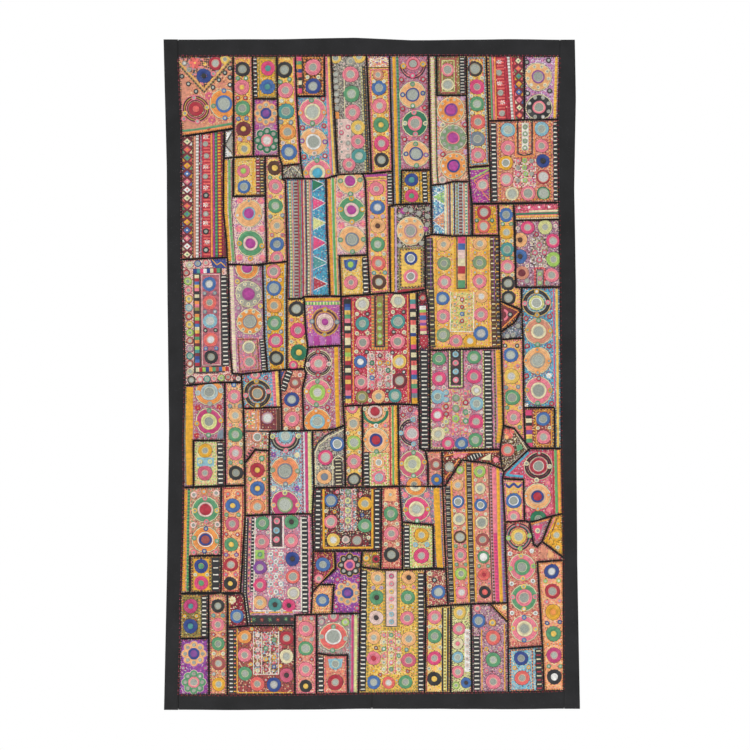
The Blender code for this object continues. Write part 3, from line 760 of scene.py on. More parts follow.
line 1.2 sky 122.2,224.6 121.6,260 121.8,329.4
ring 110.8,232.5 7.2 pink 4
ring 111,249.3 7.6 blue 4.2
ring 111.2,266.6 7.6 orange 3.6
ring 111.6,284 7.4 green 3.4
ring 112.8,301.6 7.4 hot 4
ring 113.4,319.2 7.4 black 3.8
buds 2.1 pale 105.6,241 117,241 105.8,258 117.4,275.4 106,275.6 117.2,258 slate 106.4,293 118,292.6
  107,310.6 119,310.2
block gold_target
patch yellow crimson+orange+pink 123.7,260 139,259.5 141,257.7 142.5,290 145,308.4 141.5,330 124,330.5
ring 133.4,270 8 black 4
ring 135,291.4 8 hot 3.2
ring 136,313.5 8.4 grass yellow3
ring 130.4,326 4.4 hot 1.8
buds 2.2 pink 128.5,281.2 138.6,280.6 cream 128.4,302.6 139.6,302.2
patch orchid magenta+purple+pink 141,257.7 167,257 178,257.6 178.7,306.4 145,308.4 142.5,290
line 3.4 mustard 142,260.6 177,260.2
line 3.4 leaf+straw 142.4,264.6 177.4,264.2
sprinkle 1.8 peach+pink+orange+cream 143,267 150,267 149,294 144.6,294
column orchid 145,297 150.5,297 150.8,307 145.6,307.4
column magenta 151,297 156.5,297 156.8,306.8 151,307
column orchid 157,297 162.5,297 162.6,306.4 157,306.8
column magenta 163,297 168.5,297 168.8,306 163,306.4
upright orchid 169,297 177,297 177.4,305.6 169,306
arcs 162,283 0 360 14 12.6 gold 12.4 10.6 brown 10.4 9.2 gold
ring 162,283 8.8 pale magenta3.4
buds 2.7 gold 162,270.6 161.5,295.5 slate 149,282.5 174,283
block rose_medallions
patch mauve crimson+pink+cream+magenta 145,308.4 178.7,306.4 179.2,330 180.3,367.4 181.6,386.3 171,390.3
  141,391.6 139.5,350 143.3,334 141.5,330
line 4.2 mustard 173.2,308 173.8,350 175,388
line 1 olive 177,308 177.6,350 178.6,386
arcs 155.5,324.5 0 360 13.6 12.6 cream 12.6 11.7 black 11.7 11.1 cream 11.1 9.6 black
ring 155.5,324.5 8.4 pink 3.8
buds 2.6 crimson 155,312.6 155,336 166.6,339 pale 145,325.5 166,325
big 154.5,353.5 13.8 pink lime 8.2 4
big 154.5,382.5 13.4 orange sky 7.4 4.2
buds 2.6 green 154.5,342.5 153.5,365.5 mustard 143.5,352.5 166,352 crimson 144,368.5 164.5,368.5 166,340
  orange 143.5,384 165.5,381.5 153,371.6
block bodice_crimson
patch crimson rose+cream+brick+pink 178,257.6 207,255.5 227.5,253.6 234.5,254.6 254.5,252.5 254.7,310
  256,366 235,365 227.5,364.6 199.5,366.3 180.3,367.4 179.2,330 178.7,306.4
line 8 black 184.4,260 185,364
bars 184.4,265 185.4,364 5.6 navy*3 blue*3 yellow green pink black*3 cream black*3 coral*4 cream*7 black*3
  gold lime yellow crimson black*3 cream black*3 crimson yellow crimson*6 pink*5 navy*3 yellow
line 1 orange+mustard 190,262 190.6,364
line 8 black 249.8,254.6 251.4,364.6
bars 249.6,254.6 251.6,364.6 5.4 yellow*5 teal pink black*3 cream black*3 coral cream*7 navy*3 mustard*7
  hot black*3 cream black*3 coral*4 cream hot blue peach green hot slate mustard*5
line 1 orange+mustard 244.6,256 245.2,364
ring 199.4,265 7.2 cream 3.8
ring 199.4,284.6 7.2 teal 3
ring 199.8,303.6 7.4 pink 3.8
ring 197.4,322.8 6.6 blue white3.2
ring 198.2,343 7.2 pink 3.4
ring 199,358 6.4 olive 3.2
ring 235,262 7.4 cream 3.8
ring 235,282.6 7.4 teal 4
ring 234.6,302.6 7.8 pink 3.8
ring 236.4,322.6 7.4 yellow 4
ring 236.6,341.6 7.6 maroon 4
ring 232,356.6 7 teal 3.4
ring 215.5,357.4 7 peach 3.2
buds 2.2 cream 194,275 204.6,294 194,294.4 230,273 241,293.4 193.4,312.6 230.4,333 223.8,360.6 207,361.4
  242,313 194,333.6 dark 204.4,275 203.6,313 194,333.4 230.6,293 240.6,273 240.8,333 229.4,313.6 224.4,352
  205.4,352.6
line 2.6 orange+olive 209.6,256.6 210,309.6 223.6,309.6 223.4,255
line 1.8 black 212,256.6 212.4,307.6 221.2,307.6 221,255.6
upright olive 213.6,257 219.8,256.6 219.8,306.4 214,306.4
buds 2.6 lime 216.5,266 216.6,273.8 216.7,281.6 216.8,289.2 216.9,296.8 217,303.6
sprinkle 1.5 pale+cream+grey+pink+white 204.6,312 229.4,312 229.2,350 204.8,350
line 0.9 white 205,312 205,349
line 0.9 crimson 212.8,312 212.8,349.6
line 0.9 crimson 221,312 221,349.6
line 0.9 white 229,312 229,349
buds 2.6 pale 209,316.6 217,331 225,316.6 217,345 225,338.6 grass 209,324 225,331.4 mustard 209,331.4
  217,323.8 225,324 blue 209,338.8 maroon 217,316.6 pink 217,338.4 209,346 grey 225,345.6
block ladder_strip
patch black crimson+purple+cream 254.5,252.5 262.4,250.5 265.5,266 267,310.7 266.6,411.5 262.5,411.8
  257,409.4 256,366 254.7,310
ring 259.6,259 3.7 crimson 1.6
bars 259.6,267 260.4,295 6.4 white lime*3 coral*3 blue*5 pink*3 purple*3 orange*3 rose*3 cream*3
laid crimson 256.6,296.4 265,296.4 265,305 261,310 256.8,305
knots 0.6 white 258.8,298.8 262.6,298.8 260.8,301.6 258.8,304 262.8,304 260.8,306.8
ladder 261,311 261.8,410 7.6 4.1
block green_ring_column
patch yellow pink+rose+orange 338.4,300.5 360,299 360.8,368.5 362,403 351,389.5 340.5,386.5
dots 2 1.1 pink
ring 347.6,316 7.6 blue 3.8
ring 348.2,337.3 8 yellow 3.6
ring 349,358.5 8 green 4.2
ring 350.5,378.4 7.6 pink 3
buds 2.2 dark 342,306.6 354,306.8 pink 342.4,326.8 354.4,326.8 slate 343,348.5 355,347.8 green 356.6,388
  344,368.6 pale 357,368.6
block sky_medallions
patch cyan crimson+white+sky+navy 358.5,248.5 397.5,248 398.7,409.5 392,409.5 391.5,368.5 360.8,368.5
  360,299 358.7,271
line 1.6 rose 390.6,250 391,300 391.8,367
line 2.6 yellow 393.6,250 394.2,300 395,408
arcs 373.5,264 0 360 14.2 13.3 yellow 13.3 11.6 black 11.6 9.9 dark 9.8 9.1 cream
ring 373.5,264 8 straw 4.4 white
buds 2.7 gold 373.5,252.5 374,276 pink 361.8,264.5 385,263.5
big 375.5,292.5 13.8 salmon cream 7.6 4.8
big 374.5,321.5 13.6 peach grey 7.6 5.5
big 375.5,351.5 14 pink cream 8.2 5.8
buds 2.7 green 375.5,281.5 374.5,305.6 374.5,364 gold 364.5,291 387.2,292 orange 374.2,310.9 374.5,333.5
  362.8,321.5 385.8,322 crimson 375.6,339.6 gold 364,351 387,351.5
buds 2.6 crimson 363,279.5 386.5,277.5 364,307 386,307 363.5,337 388.5,364.5
flowers 2.8 white 386,336.6 363,367
patch brick maroon+mustard+cream 360.8,368.5 391.5,368.5 392,409.5 367,409.5 362,403
bars 365.4,371 366.4,408 6 hot*5 black*3 cream*4 black*3 coral*4 purple yellow green hot
line 1.2 brown+mustard 371.2,370.6 389.8,370.4 390.2,407.6 371.6,407.6 371.2,370.6
line 0.9 mustard 372.8,372 388.2,372 388.6,406 373.2,406 372.8,372
ring 380,380 7.2 blue 3.5
ring 380.4,398 7.2 pink 3.3
buds 2 cream 374.8,389 386.4,388.6
block bodice_green_rings
patch mauve pink+crimson+dark+rose 267,310.7 272,311.4 313,309.7 338.3,309 340.5,386.5 338,404 337,410.3
  279,411.5 266.6,411.5
line 1.4 straw+olive 268.4,313 268.6,409 320.8,408.6 320.2,312
ring 276,319.8 7 green 3
ring 276,339.6 7.4 hot 3
ring 274.6,357.6 7.2 sky 3
ring 274.4,376 7 hot 3.4
ring 275,395 7.4 cream 3
ring 311,318.4 7 green 3.2
ring 311,337.5 7.6 hot 3.4
ring 313.4,351.4 5.6 cream 2.4
ring 313.6,364.6 7.2 sky 3.2
ring 313,382.6 7.6 hot 3.2
ring 285,404.4 6.6 hot 2.8
ring 298.6,404.4 6.6 blue 2.8
ring 312.4,401 7.2 green 3.2
buds 2.2 pale 270.6,329.6 281.6,329.4 270.4,348.6 281,348.4 270,366.8 269.8,385.6 280,386 306,328 317,328
  318.4,373.4 306.4,373 319,392 306.6,391.6
line 1.2 black 285,311.6 285.4,349 300.2,349 300,311
upright dark 287.4,311.6 298,311.4 298.2,346 287.6,346
line 1.4 cream+lime 286.6,311.6 287,347.6 298.8,347.6 298.6,311
buds 3.2 sky 292.5,315.4 292.7,332.6 pink 292.6,324 292.8,341
sprinkle 1.5 pink+mustard+pale+rose+mauve+straw 278.6,350 307,350 307,396 278.8,396
line 0.9 rose 288,350 288,396
line 0.9 rose 297.8,350 297.8,396
buds 3 sky 283,353.6 283,360.6 crimson 283,367.6 283,375 straw 283,382.6 283,391
buds 3.8 sage 292.8,359 292.8,369.4 lime 292.8,379.6
buds 3 pink 292.8,390.6 302.6,354.5 302.6,390.5 crimson 302.6,363.5 green 302.6,373 302.6,382
ladder 324.4,311 326,410 7.8 4.1
line 1.6 black+olive 331.2,311 333,409
line 5 mustard+gold 335,311 337.4,386 335.4,404
block mustard_edge
patch mauve crimson+rose+cream+slate 22,346.5 62,343.3 62,401.5 30.5,401.5 30.5,448 20.5,448.5 20,400
line 8 mustard 26.6,348 26,400 27,446
line 1.6 olive+slate 22.8,348 22,400 23,446
knots 1.4 crimson 27,360
big 46.5,353 14 orange mist 8.6 4.6
big 46,382.5 13.6 fuchsia straw 8.2 4.5
buds 2.9 mist 35,354 58,351.5
buds 2.8 grey 47,364.8
buds 2.7 green 46.2,371.6 45.5,396 mustard 34,384.5 58,381.5
flowers 3 crimson 35,369 56.5,368 33.6,396.5
satin slate 55,392 60.6,390 60.6,400 54,400
patch straw pink+teal+orange+rose 30.5,401.5 62,401.5 62.5,446.8 30.5,448
line 1.2 lime+cream 32.6,403.6 51.8,403.4 52.2,445.4 32.8,445.8 32.6,403.6
laid sky 34,418.6 51,418.6 51,427 34,427
buds 2.4 straw 37.4,422.6 47,422.6
ring 42.2,411.6 7.2 mustard 3
ring 42,434 7.6 rose 2.7
ladder 57.2,403 57.8,446 6.4 4.1
patch peach sage+pink+crimson+cream 62,343.4 79,343.6 80.5,369.5 81.2,390 82,446.3 62.5,446.8
line 1.2 pink+rose 63.8,345 64,445
ring 71.4,357.4 7 pink 3
ring 72.5,376.5 7.2 peach 3.2
ring 72.5,395.5 7.4 green 3.2
ring 72.6,414 7.4 pink 3.2
ring 73,433.8 7.4 black 3.2
buds 2.2 slate 67.2,367 77,367 pink 67.3,386 77.6,386 cream 67.3,405 78,405 green 67.5,423.6 78,423
buds 2.6 blue 71,346
block sky_target
patch cyan pink+crimson+white 78.5,335.3 104.5,332.4 116.5,331 118.5,368 80.5,369.5
line 3 pink+rose 110.4,332 112.2,368
line 3.4 yellow 113.6,332 115.4,367.6
ring 92.5,335.6 5 pink 2.2
arcs 94.5,354.5 0 360 14.2 13.3 yellow 13.3 11.6 black 11.6 9.9 dark 9.8 9.1 yellow
ring 94.5,354.5 8.2 brown 4.9 peach
buds 2.7 gold 93.5,342.3 94.5,366.8 pink 82.8,356.5 105.6,352.5
buds 2.2 crimson 84,341.4 103,339 84.5,367
patch salmon grey+white+crimson+olive 80.5,369.5 118.5,368 119,392 107,392.5 106,411.7 92,411 82,424
  81.2,390
sprinkle 1.7 peach+yellow+green+coral+white+mustard 82,371 93,370.6 93,390 82.8,390
line 1.6 orange 95,370.6 95.4,392
laid maroon 97,371 113,370.4 113.4,390.4 97.6,390.8
knots 0.8 cream 99.4,373 104.8,372.6 110.4,372.6 99.8,379 110.8,385 100,388.4 105.4,388.4 110.8,379 orange
  102,372.8 107.6,372.6 99.6,376 110.6,375.6 99.8,382.4 100,385.4 102.6,388.4 108,388.4
line 1.8 black 81.6,392 107,392.4
ring 104.5,379 6.2 mauve 4
line 3.6 brown 115,370 115.6,391
ring 94.4,398 6 salmon 3.4 white
sprinkle 1.7 grey+lime+cream+teal+white 98.6,394 106,394 105.4,410 97,410
flowers 2 crimson 102.4,398 102,404
line 2.4 pink+dark 82.6,419 91,406.6
line 2 black 84.6,421.6 93,409.4
patch salmon crimson+pink+cream+orange 116.5,331 124,330.5 141.5,330 143.3,334 139.5,350 141,391.6 119,392
  118.5,368
laid navy 117,332 121.8,331.6 117.6,342
ladder 127,331 119.4,352 6.6 3.6
ring 132.2,343.6 5.8 brick 2.4
buds 2.4 pale 137,336
ring 128.8,360.5 7.6 navy 3.6
ring 129.2,380 7.8 pink 3.2
buds 2.3 cream 123,370.6 134.6,370.4 123,389.6 135,389.4
block orange_medallions
patch peach pink+olive+crimson 82,424 92,411 106,411.7 106.5,475.5 82.3,476.7 82,446.3
dots 2 1.1 pink+olive
line 1 olive 103.2,414 103.8,473
buds 3 green 98.8,419.4
ring 94.4,431 7.4 crimson yellow2.6
ring 94.5,449.4 7.4 blue yellow2.6
ring 94.5,467.6 7.4 tangerine 3.6
buds 2.2 green 87,440 101,440 pink 87.4,458.8 101.2,458.6
patch sky crimson+pink+white+rose 107,392.5 141,391.6 149.5,391.4 151,449 149.3,474.6 106.5,475.5
  106,411.7
line 1.4 maroon+mauve 139,393 140,474
line 1 white 141,393 142,474
line 3 fuchsia 143.2,393 144.2,474
line 3.6 straw 146.4,393 147.6,474
arcs 122.5,398.2 90 270 14.6 12.6 black 12.6 11.9 cream 11.9 9.9 dark 9.9 7.6 pink
ring 122.5,397 7.2 sky 3.8
big 122,432 14.8 tangerine slate 7.8 5.6
big 122,465.6 14.6 fuchsia sage 8 5.8
buds 2.7 straw 135.5,397 109.6,397.6 pink 123,411.5 slate 122,418.8 122.5,445 sage 109.8,431 134.4,432
  straw 122,453.8 peach 110.5,466 134.8,466
flowers 2.8 purple 110.5,415.5 134,449.5 cream 134,416 110.5,449.5
block cut_corner_rings
patch grey dark+brown+mauve+dark+cream 149.5,391.4 171,390.3 181.6,386.3 182.5,448.2 151,449 150,411
sprinkle 1.6 maroon+crimson+dark+mustard+pink 150.6,392.6 171,391 160,396.6 151,408
buds 2 grey 155,395.6
line 1.8 black 151,411.6 154.4,404 163,396.2 180,387.4
line 1.4 cream 152.8,446 152.4,413 156,405.8 164.4,398.8 181,390.4
ring 174.4,405 7.6 blue 4 white
ring 162.6,418.4 7.8 hot 4.4
ring 161.5,437.8 7.6 peach slate3.6
ladder 175,419 175.8,447 8 3.4 cream dark
line 1 cream 169.6,446 169.8,421 175,416.4 180.6,420
buds 2.2 cream 169.6,428.6 154.6,428.6
patch yellow peach+crimson+orange+olive 180.3,367.4 199.5,366.3 200,448.2 182.5,448.2 181.6,386.3
dots 1.8 1 rose+dark
ring 189.4,368.6 6 pink 2.6
ring 190.4,384.6 6.6 peach 4
ring 191,403.6 7.2 lime 4.2
ring 191,422.5 7.4 pink 3
ring 191,440.4 6.8 black 4
buds 2.1 cream 184.8,394 196.4,394 185.4,413 196.6,413 185.6,431.6 196.8,431.6
block green_arc
patch peach crimson+pink+green+cream 199.5,366.3 235,365 236.3,447.2 200,448.2
line 1.6 crimson 226.8,367 227.6,446
line 2 leaf 229.6,367 230.4,446
line 2.6 mustard 232.8,366.6 233.6,446
arcs 212,372 90 270 13.4 10.6 grass
ring 212,372.4 7.4 pale crimson4.6
buds 2.3 cream 201.8,370 222.6,370
buds 2.6 pink 203,386.4 222.4,386.4
buds 2.4 white 213,386.6
big 213,401 12.8 peach navy 6.6 crimson4.4
arcs 213,401 0 360 7.8 6.7 white
buds 2.6 orange 202.4,400.4 223.8,401.6 green 213.5,412.4
sprinkle 1.8 pale+lime+cream+pink 208.6,416 223.8,416 223.8,445 208.8,445
line 1.6 cream+lime 207.4,415 224.6,414.6 225,445.8 207.6,446.4 207.4,415
ring 215.8,423.4 5.8 peach 2.6 white
ring 216,438.4 6.8 pink 3.4 sky
ladder 203,413 203.4,447.4 6.4 4
patch mauve crimson+pink+cream+dark 235,365 256,366 257,409.5 262.5,411.8 265,426 265,447.5 236.3,447.2
arcs 249,393 180 360 12.8 11.4 black 10.8 9.4 black 13.6 12.9 cream
ring 249,394.4 8 pink 4.6 pale
buds 2.6 crimson 247,370.4 240,376 sky 250,380.5 250.5,405 238,394
big 249.4,425 14 rose straw 8.8 4.4
buds 2.6 green 250.5,413.6 250.5,436.6 mustard 238.6,424.5 261.4,423
ring 251,445.6 7.6 orange 3
flowers 2.6 pink 239.6,440 261.6,439 239.4,410 254,374
patch salmon pink+green+cream+rose 262.5,411.8 279,411.5 279.7,447.5 265,447.5 265,426
ring 273,425.5 6 brick 2.6
ring 273.6,440.6 5.8 blue gold2.4
line 1 orange 266.6,414 277.6,413.6
block fan_patches
patch brown crimson+cream+orange+pink 279,411.5 337,410.3 339,430 326.5,424.5 299,421 282,447 279.7,447.5
line 1.4 orange 281,417 299,413.6 336,412.6
line 1.2 orange 281.6,440 296,420
ring 286.4,428 5 grey 2.6
laid pink 290,413.4 307,412.8 299,419.4
ladder 304.6,421 318.6,414.4 6.4 3.2
satin cream 317,420.6 328,414 327.6,421.6
flowers 2.8 pink 293,416.6 333,421
knots 1.2 cream 284,419.6 299,417
patch brown grey+cream+olive+pale 340.5,386.5 351,389.5 362,403 367,409.5 341,433 339,430 337,410.3
  338,404
flowers 3 coral 343.4,392.6 347,396.6 349.6,391.4
flowers 2.4 peach 343.6,398
ring 344.6,411 6.8 coral 3.4
satin green 353,406.6 358.4,405 360.4,409.6 354,413
line 1.2 cream 350,389.6 364,411
line 1.2 cream 365,411.6 341,431
line 1.6 grey 348,425.4 362,412
knots 1.2 cream 352,400 348,402.6
block rose_target
patch rose crimson+pink+cream+sky 367,409.5 398.7,409.5 400,474.6 389,477 366.5,483.3 361.5,481.6
  360.5,440.6 339.5,439.7 341,433
line 2.6 cyan 365.6,413 343,436 360,437.6
line 1.6 crimson 389.6,411 391,474
line 2.8 leaf 392.4,411 393.8,474
line 3 mustard+orange 395.8,411 397,474
arcs 375.5,427 0 360 14.2 13.4 cream 13.4 11.8 black 11.8 11 maroon 11 9.6 black 9.4 8.7 cream
ring 375.5,427 7.8 crimson 4.8 pale
buds 2.6 crimson 376,414 cream 363.4,424.4 386.4,427.5 373.6,441
big 374.4,457.4 13.4 peach navy 6.4 crimson4.2
arcs 374.4,457.4 0 360 8 6.8 mist
buds 2.6 orange 362.8,457 385.4,456 374.8,469.6
ring 375.4,480 8.6 grass 3.4
flowers 2.6 pink 384.6,443.4 364,443.8 385.8,470.6 364,471
patch yellow pink+cream+orange 339.5,439.7 360.5,440.6 361.5,481.6 342,483
line 2.6 navy 341.6,444.6 346,448.4 350.6,444.6 355,448.4 359.4,444.8
line 1 yellow 341.8,449.8 359.8,449.6
line 1.2 pink 342.2,442.4 358.8,442.8 359.6,480 343.4,481 342.2,442.4
ring 350.6,461.6 7.9 blue 4.2 white
ring 350.6,477.6 6.4 pink 2.8
block long_columns
patch salmon pink+cream+rose+olive 299,421 326.5,424.5 339,430 341,433 339.5,439.7 342,483 342.5,515
  344.6,563.7 308,565 285,566.3 283,530 281.5,500 279.7,447.5 282,447
ladder 284.6,447 286.4,505 5 1.8 ivory+dark+cream black
ladder 286.4,505 288.8,563 5 1.8 ivory+dark+cream black
line 1.8 mustard 288.4,442 289.8,500 292.2,564
ladder 305.6,424 307.4,494 5 1.8 ivory+dark+cream dark
ladder 307.4,494 309.6,564 5 1.8 ivory+dark+cream dark
line 1.6 mustard 302.2,424 303.6,480 306,563
line 1.6 mustard 309.4,424 310.8,480 313.2,563
line 1.2 dark 325.8,426 327,500 329.4,563
line 2 brown+mauve 327.8,426.6 329,500 331.4,563
line 3.8 pink 331,427.6 332.2,494
line 3.8 fuchsia+hot 332.1,494 334.6,563
line 3 mustard 334.9,429 336.1,500 338.4,563
line 2.6 purple+slate 338.2,434 339.4,500 341.6,563
ring 294.8,446 6 peach 2.8
ring 295,462.6 6.4 blue 3.4 white
ring 296,480 6.5 cream 3.2
ring 297,498 6.5 brown 4
ring 297.4,516 6.4 pink 3
ring 298,534.6 6.2 lime 2.8
ring 298.6,553.2 6.4 pink 3
ring 297,431 4 lime 1.8
ring 316.8,432.6 6 lime 2.6
ring 317,449.4 5.8 cream 2.6
ring 317.6,466 6.4 blue 3 white
ring 318.6,483.5 6.5 cream 4
ring 319.6,500.6 6.5 brick 3
ring 320.4,518 6.2 green white4
ring 321,535.6 6.2 coral crimson2
ring 321.8,553 6.2 black coral2.8
buds 1.9 cream 291.4,471.6 300.6,471.4 292,489 301,489 312.6,441 321.6,441 313.6,475 322.6,475 315,509.4
  324,509.4 green 292.6,507 302,507 293.6,525.4 302.6,525.4 316,527 325,527 pink 294,543.8 303.2,543.8
  316.6,544.4 326,544.4 313,458 322,458
block left_medallions
patch salmon green+pink+cream+rose 20.5,448.5 58.3,447.5 58.5,516.5 27,517 27,553.5 17.5,554.6 20,490
line 3.2 orange+mustard 22.8,450 22,490 20.6,552
line 2.4 grass+leaf 26,450 25.2,490 24.6,552
buds 2.8 orange 41,452.6
buds 3.4 pale 31,455.8 53.4,454
big 42.5,470.5 13.6 green pale 7.8 crimson5.8
buds 2.6 pink 42,459.2 43.5,482.6 yellow 32,471.5 54,471.5
buds 3.2 pale 30.5,486 54.6,485.4
big 42.5,500.5 13.6 orange navy 6.4 brick4.2
arcs 42.5,500.5 0 360 8.2 6.6 white
buds 2.6 navy 43,489.6 41.4,512 green 31.4,499 54,502
buds 2.8 pink 31,513.4 53,513
patch olive crimson+orange+gold 27,517 58.5,516.5 58,553.8 27,553.7
line 1.2 gold+brown 29.4,519 47.2,518.8 47.4,552 29.4,552 29.4,519
laid mustard 30.6,520.4 46,520 46.2,551 30.6,551.4
ring 38.2,527 7.4 navy green2.8
ring 38.2,544 7.4 hot green2.8
buds 2 cream 32.4,535.6 44.2,535.6
ladder 52.8,518.6 52.8,552.6 7.6 6.3
patch peach crimson+pink+orange+cream 58.3,447.5 82,446.3 82.3,476.7 77.5,553.7 58,553.8
line 1.1 crimson 60.8,449.6 79.6,448.8 79.8,476 75.4,551.6 60.6,551.8 60.8,449.6
buds 2.6 coral 65,455 75,454.6
ring 69.8,466.5 7.4 blue yellow2.6
ring 69.4,484.8 7.2 rose 3
ring 68.4,505.4 7 green yellow2.6
ring 68,525.6 7.2 crimson 3.4
ring 67.4,544.4 6.8 black yellow2.4
buds 2.2 green 63.6,475.6 75.6,475.6 crimson 63.4,495 74.6,495.4 purple 63.2,515.6 73.4,515.6 hot 63,535.4
  72.6,535.4
block bodice_white_beads
patch mauve pink+rose+dark+white 82.3,476.7 106.5,475.5 149.3,474.6 150.3,512 149.5,553 148,575.2 132,576
  131.6,586.6 85,586.6 81,556 77.5,553.7 81,500
line 4.6 black 83.8,479 82.8,520 82,554 86,584
dash 1 white+cream 83.8,479 82.8,520 82,554 86,584
dash 1.3 coral+yellow+dark 87.2,479 86.2,520 85.4,554 89,584
ladder 90.2,479 89,553 3 3.6
line 1.5 ivory 92.4,478 91.6,520 90.6,571.6 138.6,571.6 138.2,478
ring 99.4,484 7.2 green 3
ring 98.8,502.6 7.6 pink 3
laid lime 92.4,511 101.4,511 101.4,519.6 92.4,519.6
buds 2.6 green 97,515.4
ring 97,528.4 7 purple 2.8
ring 97,546 7 hot 2.8
ring 97,563.4 7 peach 2.8
ring 112,565.6 7 teal dark2.6
ring 126,566.4 6.8 hot dark2.4
ring 128.5,482.8 7.2 green dark2.6
ring 128.2,501.5 7.4 pink 3
ring 129.5,519.8 7.2 navy dark2.6
ring 130,537.6 7.2 coral 4
ring 130.5,554 6.6 cream 3.8
buds 2.2 pale 92.4,493.4 105,493.4 93,537 103.8,537 92,555 104,573 118.8,571.6
laid dark 109.6,477 118.6,477 118.4,507 110,507
line 1.6 ivory 107.4,477 108,508.6 120.4,508.6 120.2,477
line 1 black 109.4,477 109.8,507 118.6,507 118.4,477
buds 3.4 pink 114,482 113.6,500.6 sky 113.6,491.4
sprinkle 1.5 pale+white+pink+sky+cream 104.4,511 121.4,511 121.4,557 104.6,557
buds 2.5 white 108,515 118,515 113,522.6 108,530 118,530 113,537.6 108,545 118,545 113,552.6
buds 2.3 pink 113,515 108,522.6 118,522.6 113,530 108,537.6 118,537.6 113,545 108,552.6 118,552.6
line 9.6 black 86.4,580.6 130.6,580.4
line 1.2 mustard 88,573.6 130,573
flowers 2.6 green 91,580.4 107,580.4 123,580 crimson 99,580.6 115,580.4 129,580.2
knots 0.9 cream 95,578 103,583 111,578 119,583
ladder 141.4,477 142,574 6.6 4.3
line 1.6 pink 146.2,476 146.8,574
dash 1.2 crimson+black+cream 148.4,514 148,574
block bodice_black
patch dark crimson+cream+olive+grey 151,449 182.5,448.2 200,448.2 218.5,448 218,511.6 199,511.8 150.3,512
  149.3,474.6
ladder 155.4,450 154.6,510.6 5.6 4.8
ladder 214.2,449.6 214.2,510.2 5.6 4.8
line 2.2 mustard 160.6,450 160.8,508.8 209.4,508.6 209.4,450
ring 168,461.4 6.8 blue 4
ring 167.8,482.6 7 pink 3.8
ring 170.4,500.8 6.8 yellow 3.2
ring 182.8,500.6 4 pale 1.8
ring 194,501.4 6.6 maroon 4
ring 202,486.6 7.2 green 3.2
ring 202,464.6 7.2 mustard 3.4
buds 2.1 mustard 171.6,472.6 162.8,492 navy 199.4,476.2 pink 197.6,455 174.4,453 cream 205.6,498.6 163,472
sprinkle 1.5 grey+white+pale+sky+cream 177,449.8 193.4,449.8 193.4,492 177,492
line 1 rose 181.2,450 181.2,491.6
line 1 rose 189.2,450 189.2,491.6
buds 2.8 sage 185,453
buds 3.2 straw 184.8,461.6 184.8,471.4 184.8,481.4
buds 1.8 coral 179,458 191.2,458 179,470 191.2,470 179,482 191.2,482
block rose_medallion
patch salmon crimson+pink+cream 218.5,448 236.3,447.2 239.2,483 239.5,530.6 217.6,530.6 218,511.6
dots 2 1.2 crimson
laid peach 221.6,449.6 233,449.4 233,461.4 221.6,461.4
buds 3 peach 227.4,455.5
ring 227.8,474.5 7.4 green 3.2
ring 228.4,494.5 7.4 pink 3.2
ring 228.4,515.6 7.8 black 3.6
buds 2.2 cream 222.6,484.6 234,484.6 222.8,505 234.6,505 222.6,465 233.4,465
patch slate pink+crimson+cream+magenta 236.3,447.2 279.7,447.5 281.5,500 283,530 271,529 270,486 239.2,483
line 6.4 mustard 273.4,449 275.2,500 277,529
line 1 orange 278.6,450 280.4,500 281.6,528
big 252.6,446.6 11 orange cream 6 3
big 253.5,470 13.4 hot cream 8 4.2
buds 2.6 mustard 242.6,470.5 264.8,470 green 254,481.6
flowers 3 pink 242.4,456 264,456 265.4,480.4
patch straw orange+pink+crimson 239.2,483 270,486 271,529 239.5,530.6
line 1.8 cream+lime 247.6,487 268.2,488.4 268.8,527.4 248,528.4 247.6,487
ladder 243.6,486 244,528.6 5.6 4
ring 258.5,496 7.4 mustard 3
buds 2.6 sky 252.4,505.6 264,505.4
ring 258.4,516.6 8 hot 3.2
patch brick cream+rose+dark 262,530.2 283,530 285,566.3 263,568
ring 275.4,553 7.2 blue 3.6
buds 2.6 cream 266.6,534.6 266.6,547 black 271.4,541
line 1 mustard 264.6,533 265.4,565.6
block violet_rosettes
patch maroon rose+gold+crimson 150.3,512 172,512 172.5,530 156,545.5 149.5,553
ring 160,525.4 7.4 blue 3
ring 156,539.6 4.8 pink 2
line 1.2 gold 170,513.6 170.8,528 164,536.4 153.6,547
patch purple magenta+pink+lilac 172,512 199,511.8 198,528 197,574.2 169,575 171,545.5 156,545.5 172.5,530
rosette 186.6,526 12.4 black mustard pink purple3.4
rosette 184.6,553.8 13 peach lilac navy purple3.6
buds 2.6 fuchsia 174.6,540.4 173,567.5 195,541 194,569
buds 2.2 crimson 181.6,543
patch peach rose+olive+cream+orange 156,545.5 171,545.5 169,575 148,575.2 149.5,553
line 1 orange+olive 155.6,548 168.6,548 166.6,572.6 151,572.8 152.6,555.4
ring 159.6,561 6.8 blue 3
block bodice_olive
patch olive mustard+pink+crimson 199,511.8 218,511.6 217.6,530.6 198,528
line 1 olive 209,513 208.6,528.6
ring 203.4,519 3.6 mustard 1.6
ring 213,520 4 crimson black1.8
patch yellow olive+pink+crimson+mustard+dark 217.6,530.6 262,530.2 263,568 261.5,653.9 195.6,654.3
  197,574.2 198,528
ladder 201,531 199.6,652 6.2 4.2
ladder 257.8,534 258,652 6.4 4.2
line 2 olive+gold 206,533 205.6,577 204.2,651 254,651 254.4,570 253.8,533
ring 214.6,539 7.2 peach 3.2
ring 213.6,558.4 7.4 green dark2.6
ring 213.2,578.6 7.4 pale dark2.6
ring 210.8,598.4 6.8 peach 2.8
ring 210.6,619 7.2 pink crimson2.6
ring 210.6,643 7 blue 3
ring 245.8,538.4 7.2 peach dark2.6
ring 244.8,558.2 7.2 green 3
ring 244.2,579 7.2 pink 3.2
ring 245.8,599.6 7.6 peach 3.4
ring 245.6,621 7.4 rose 3.2
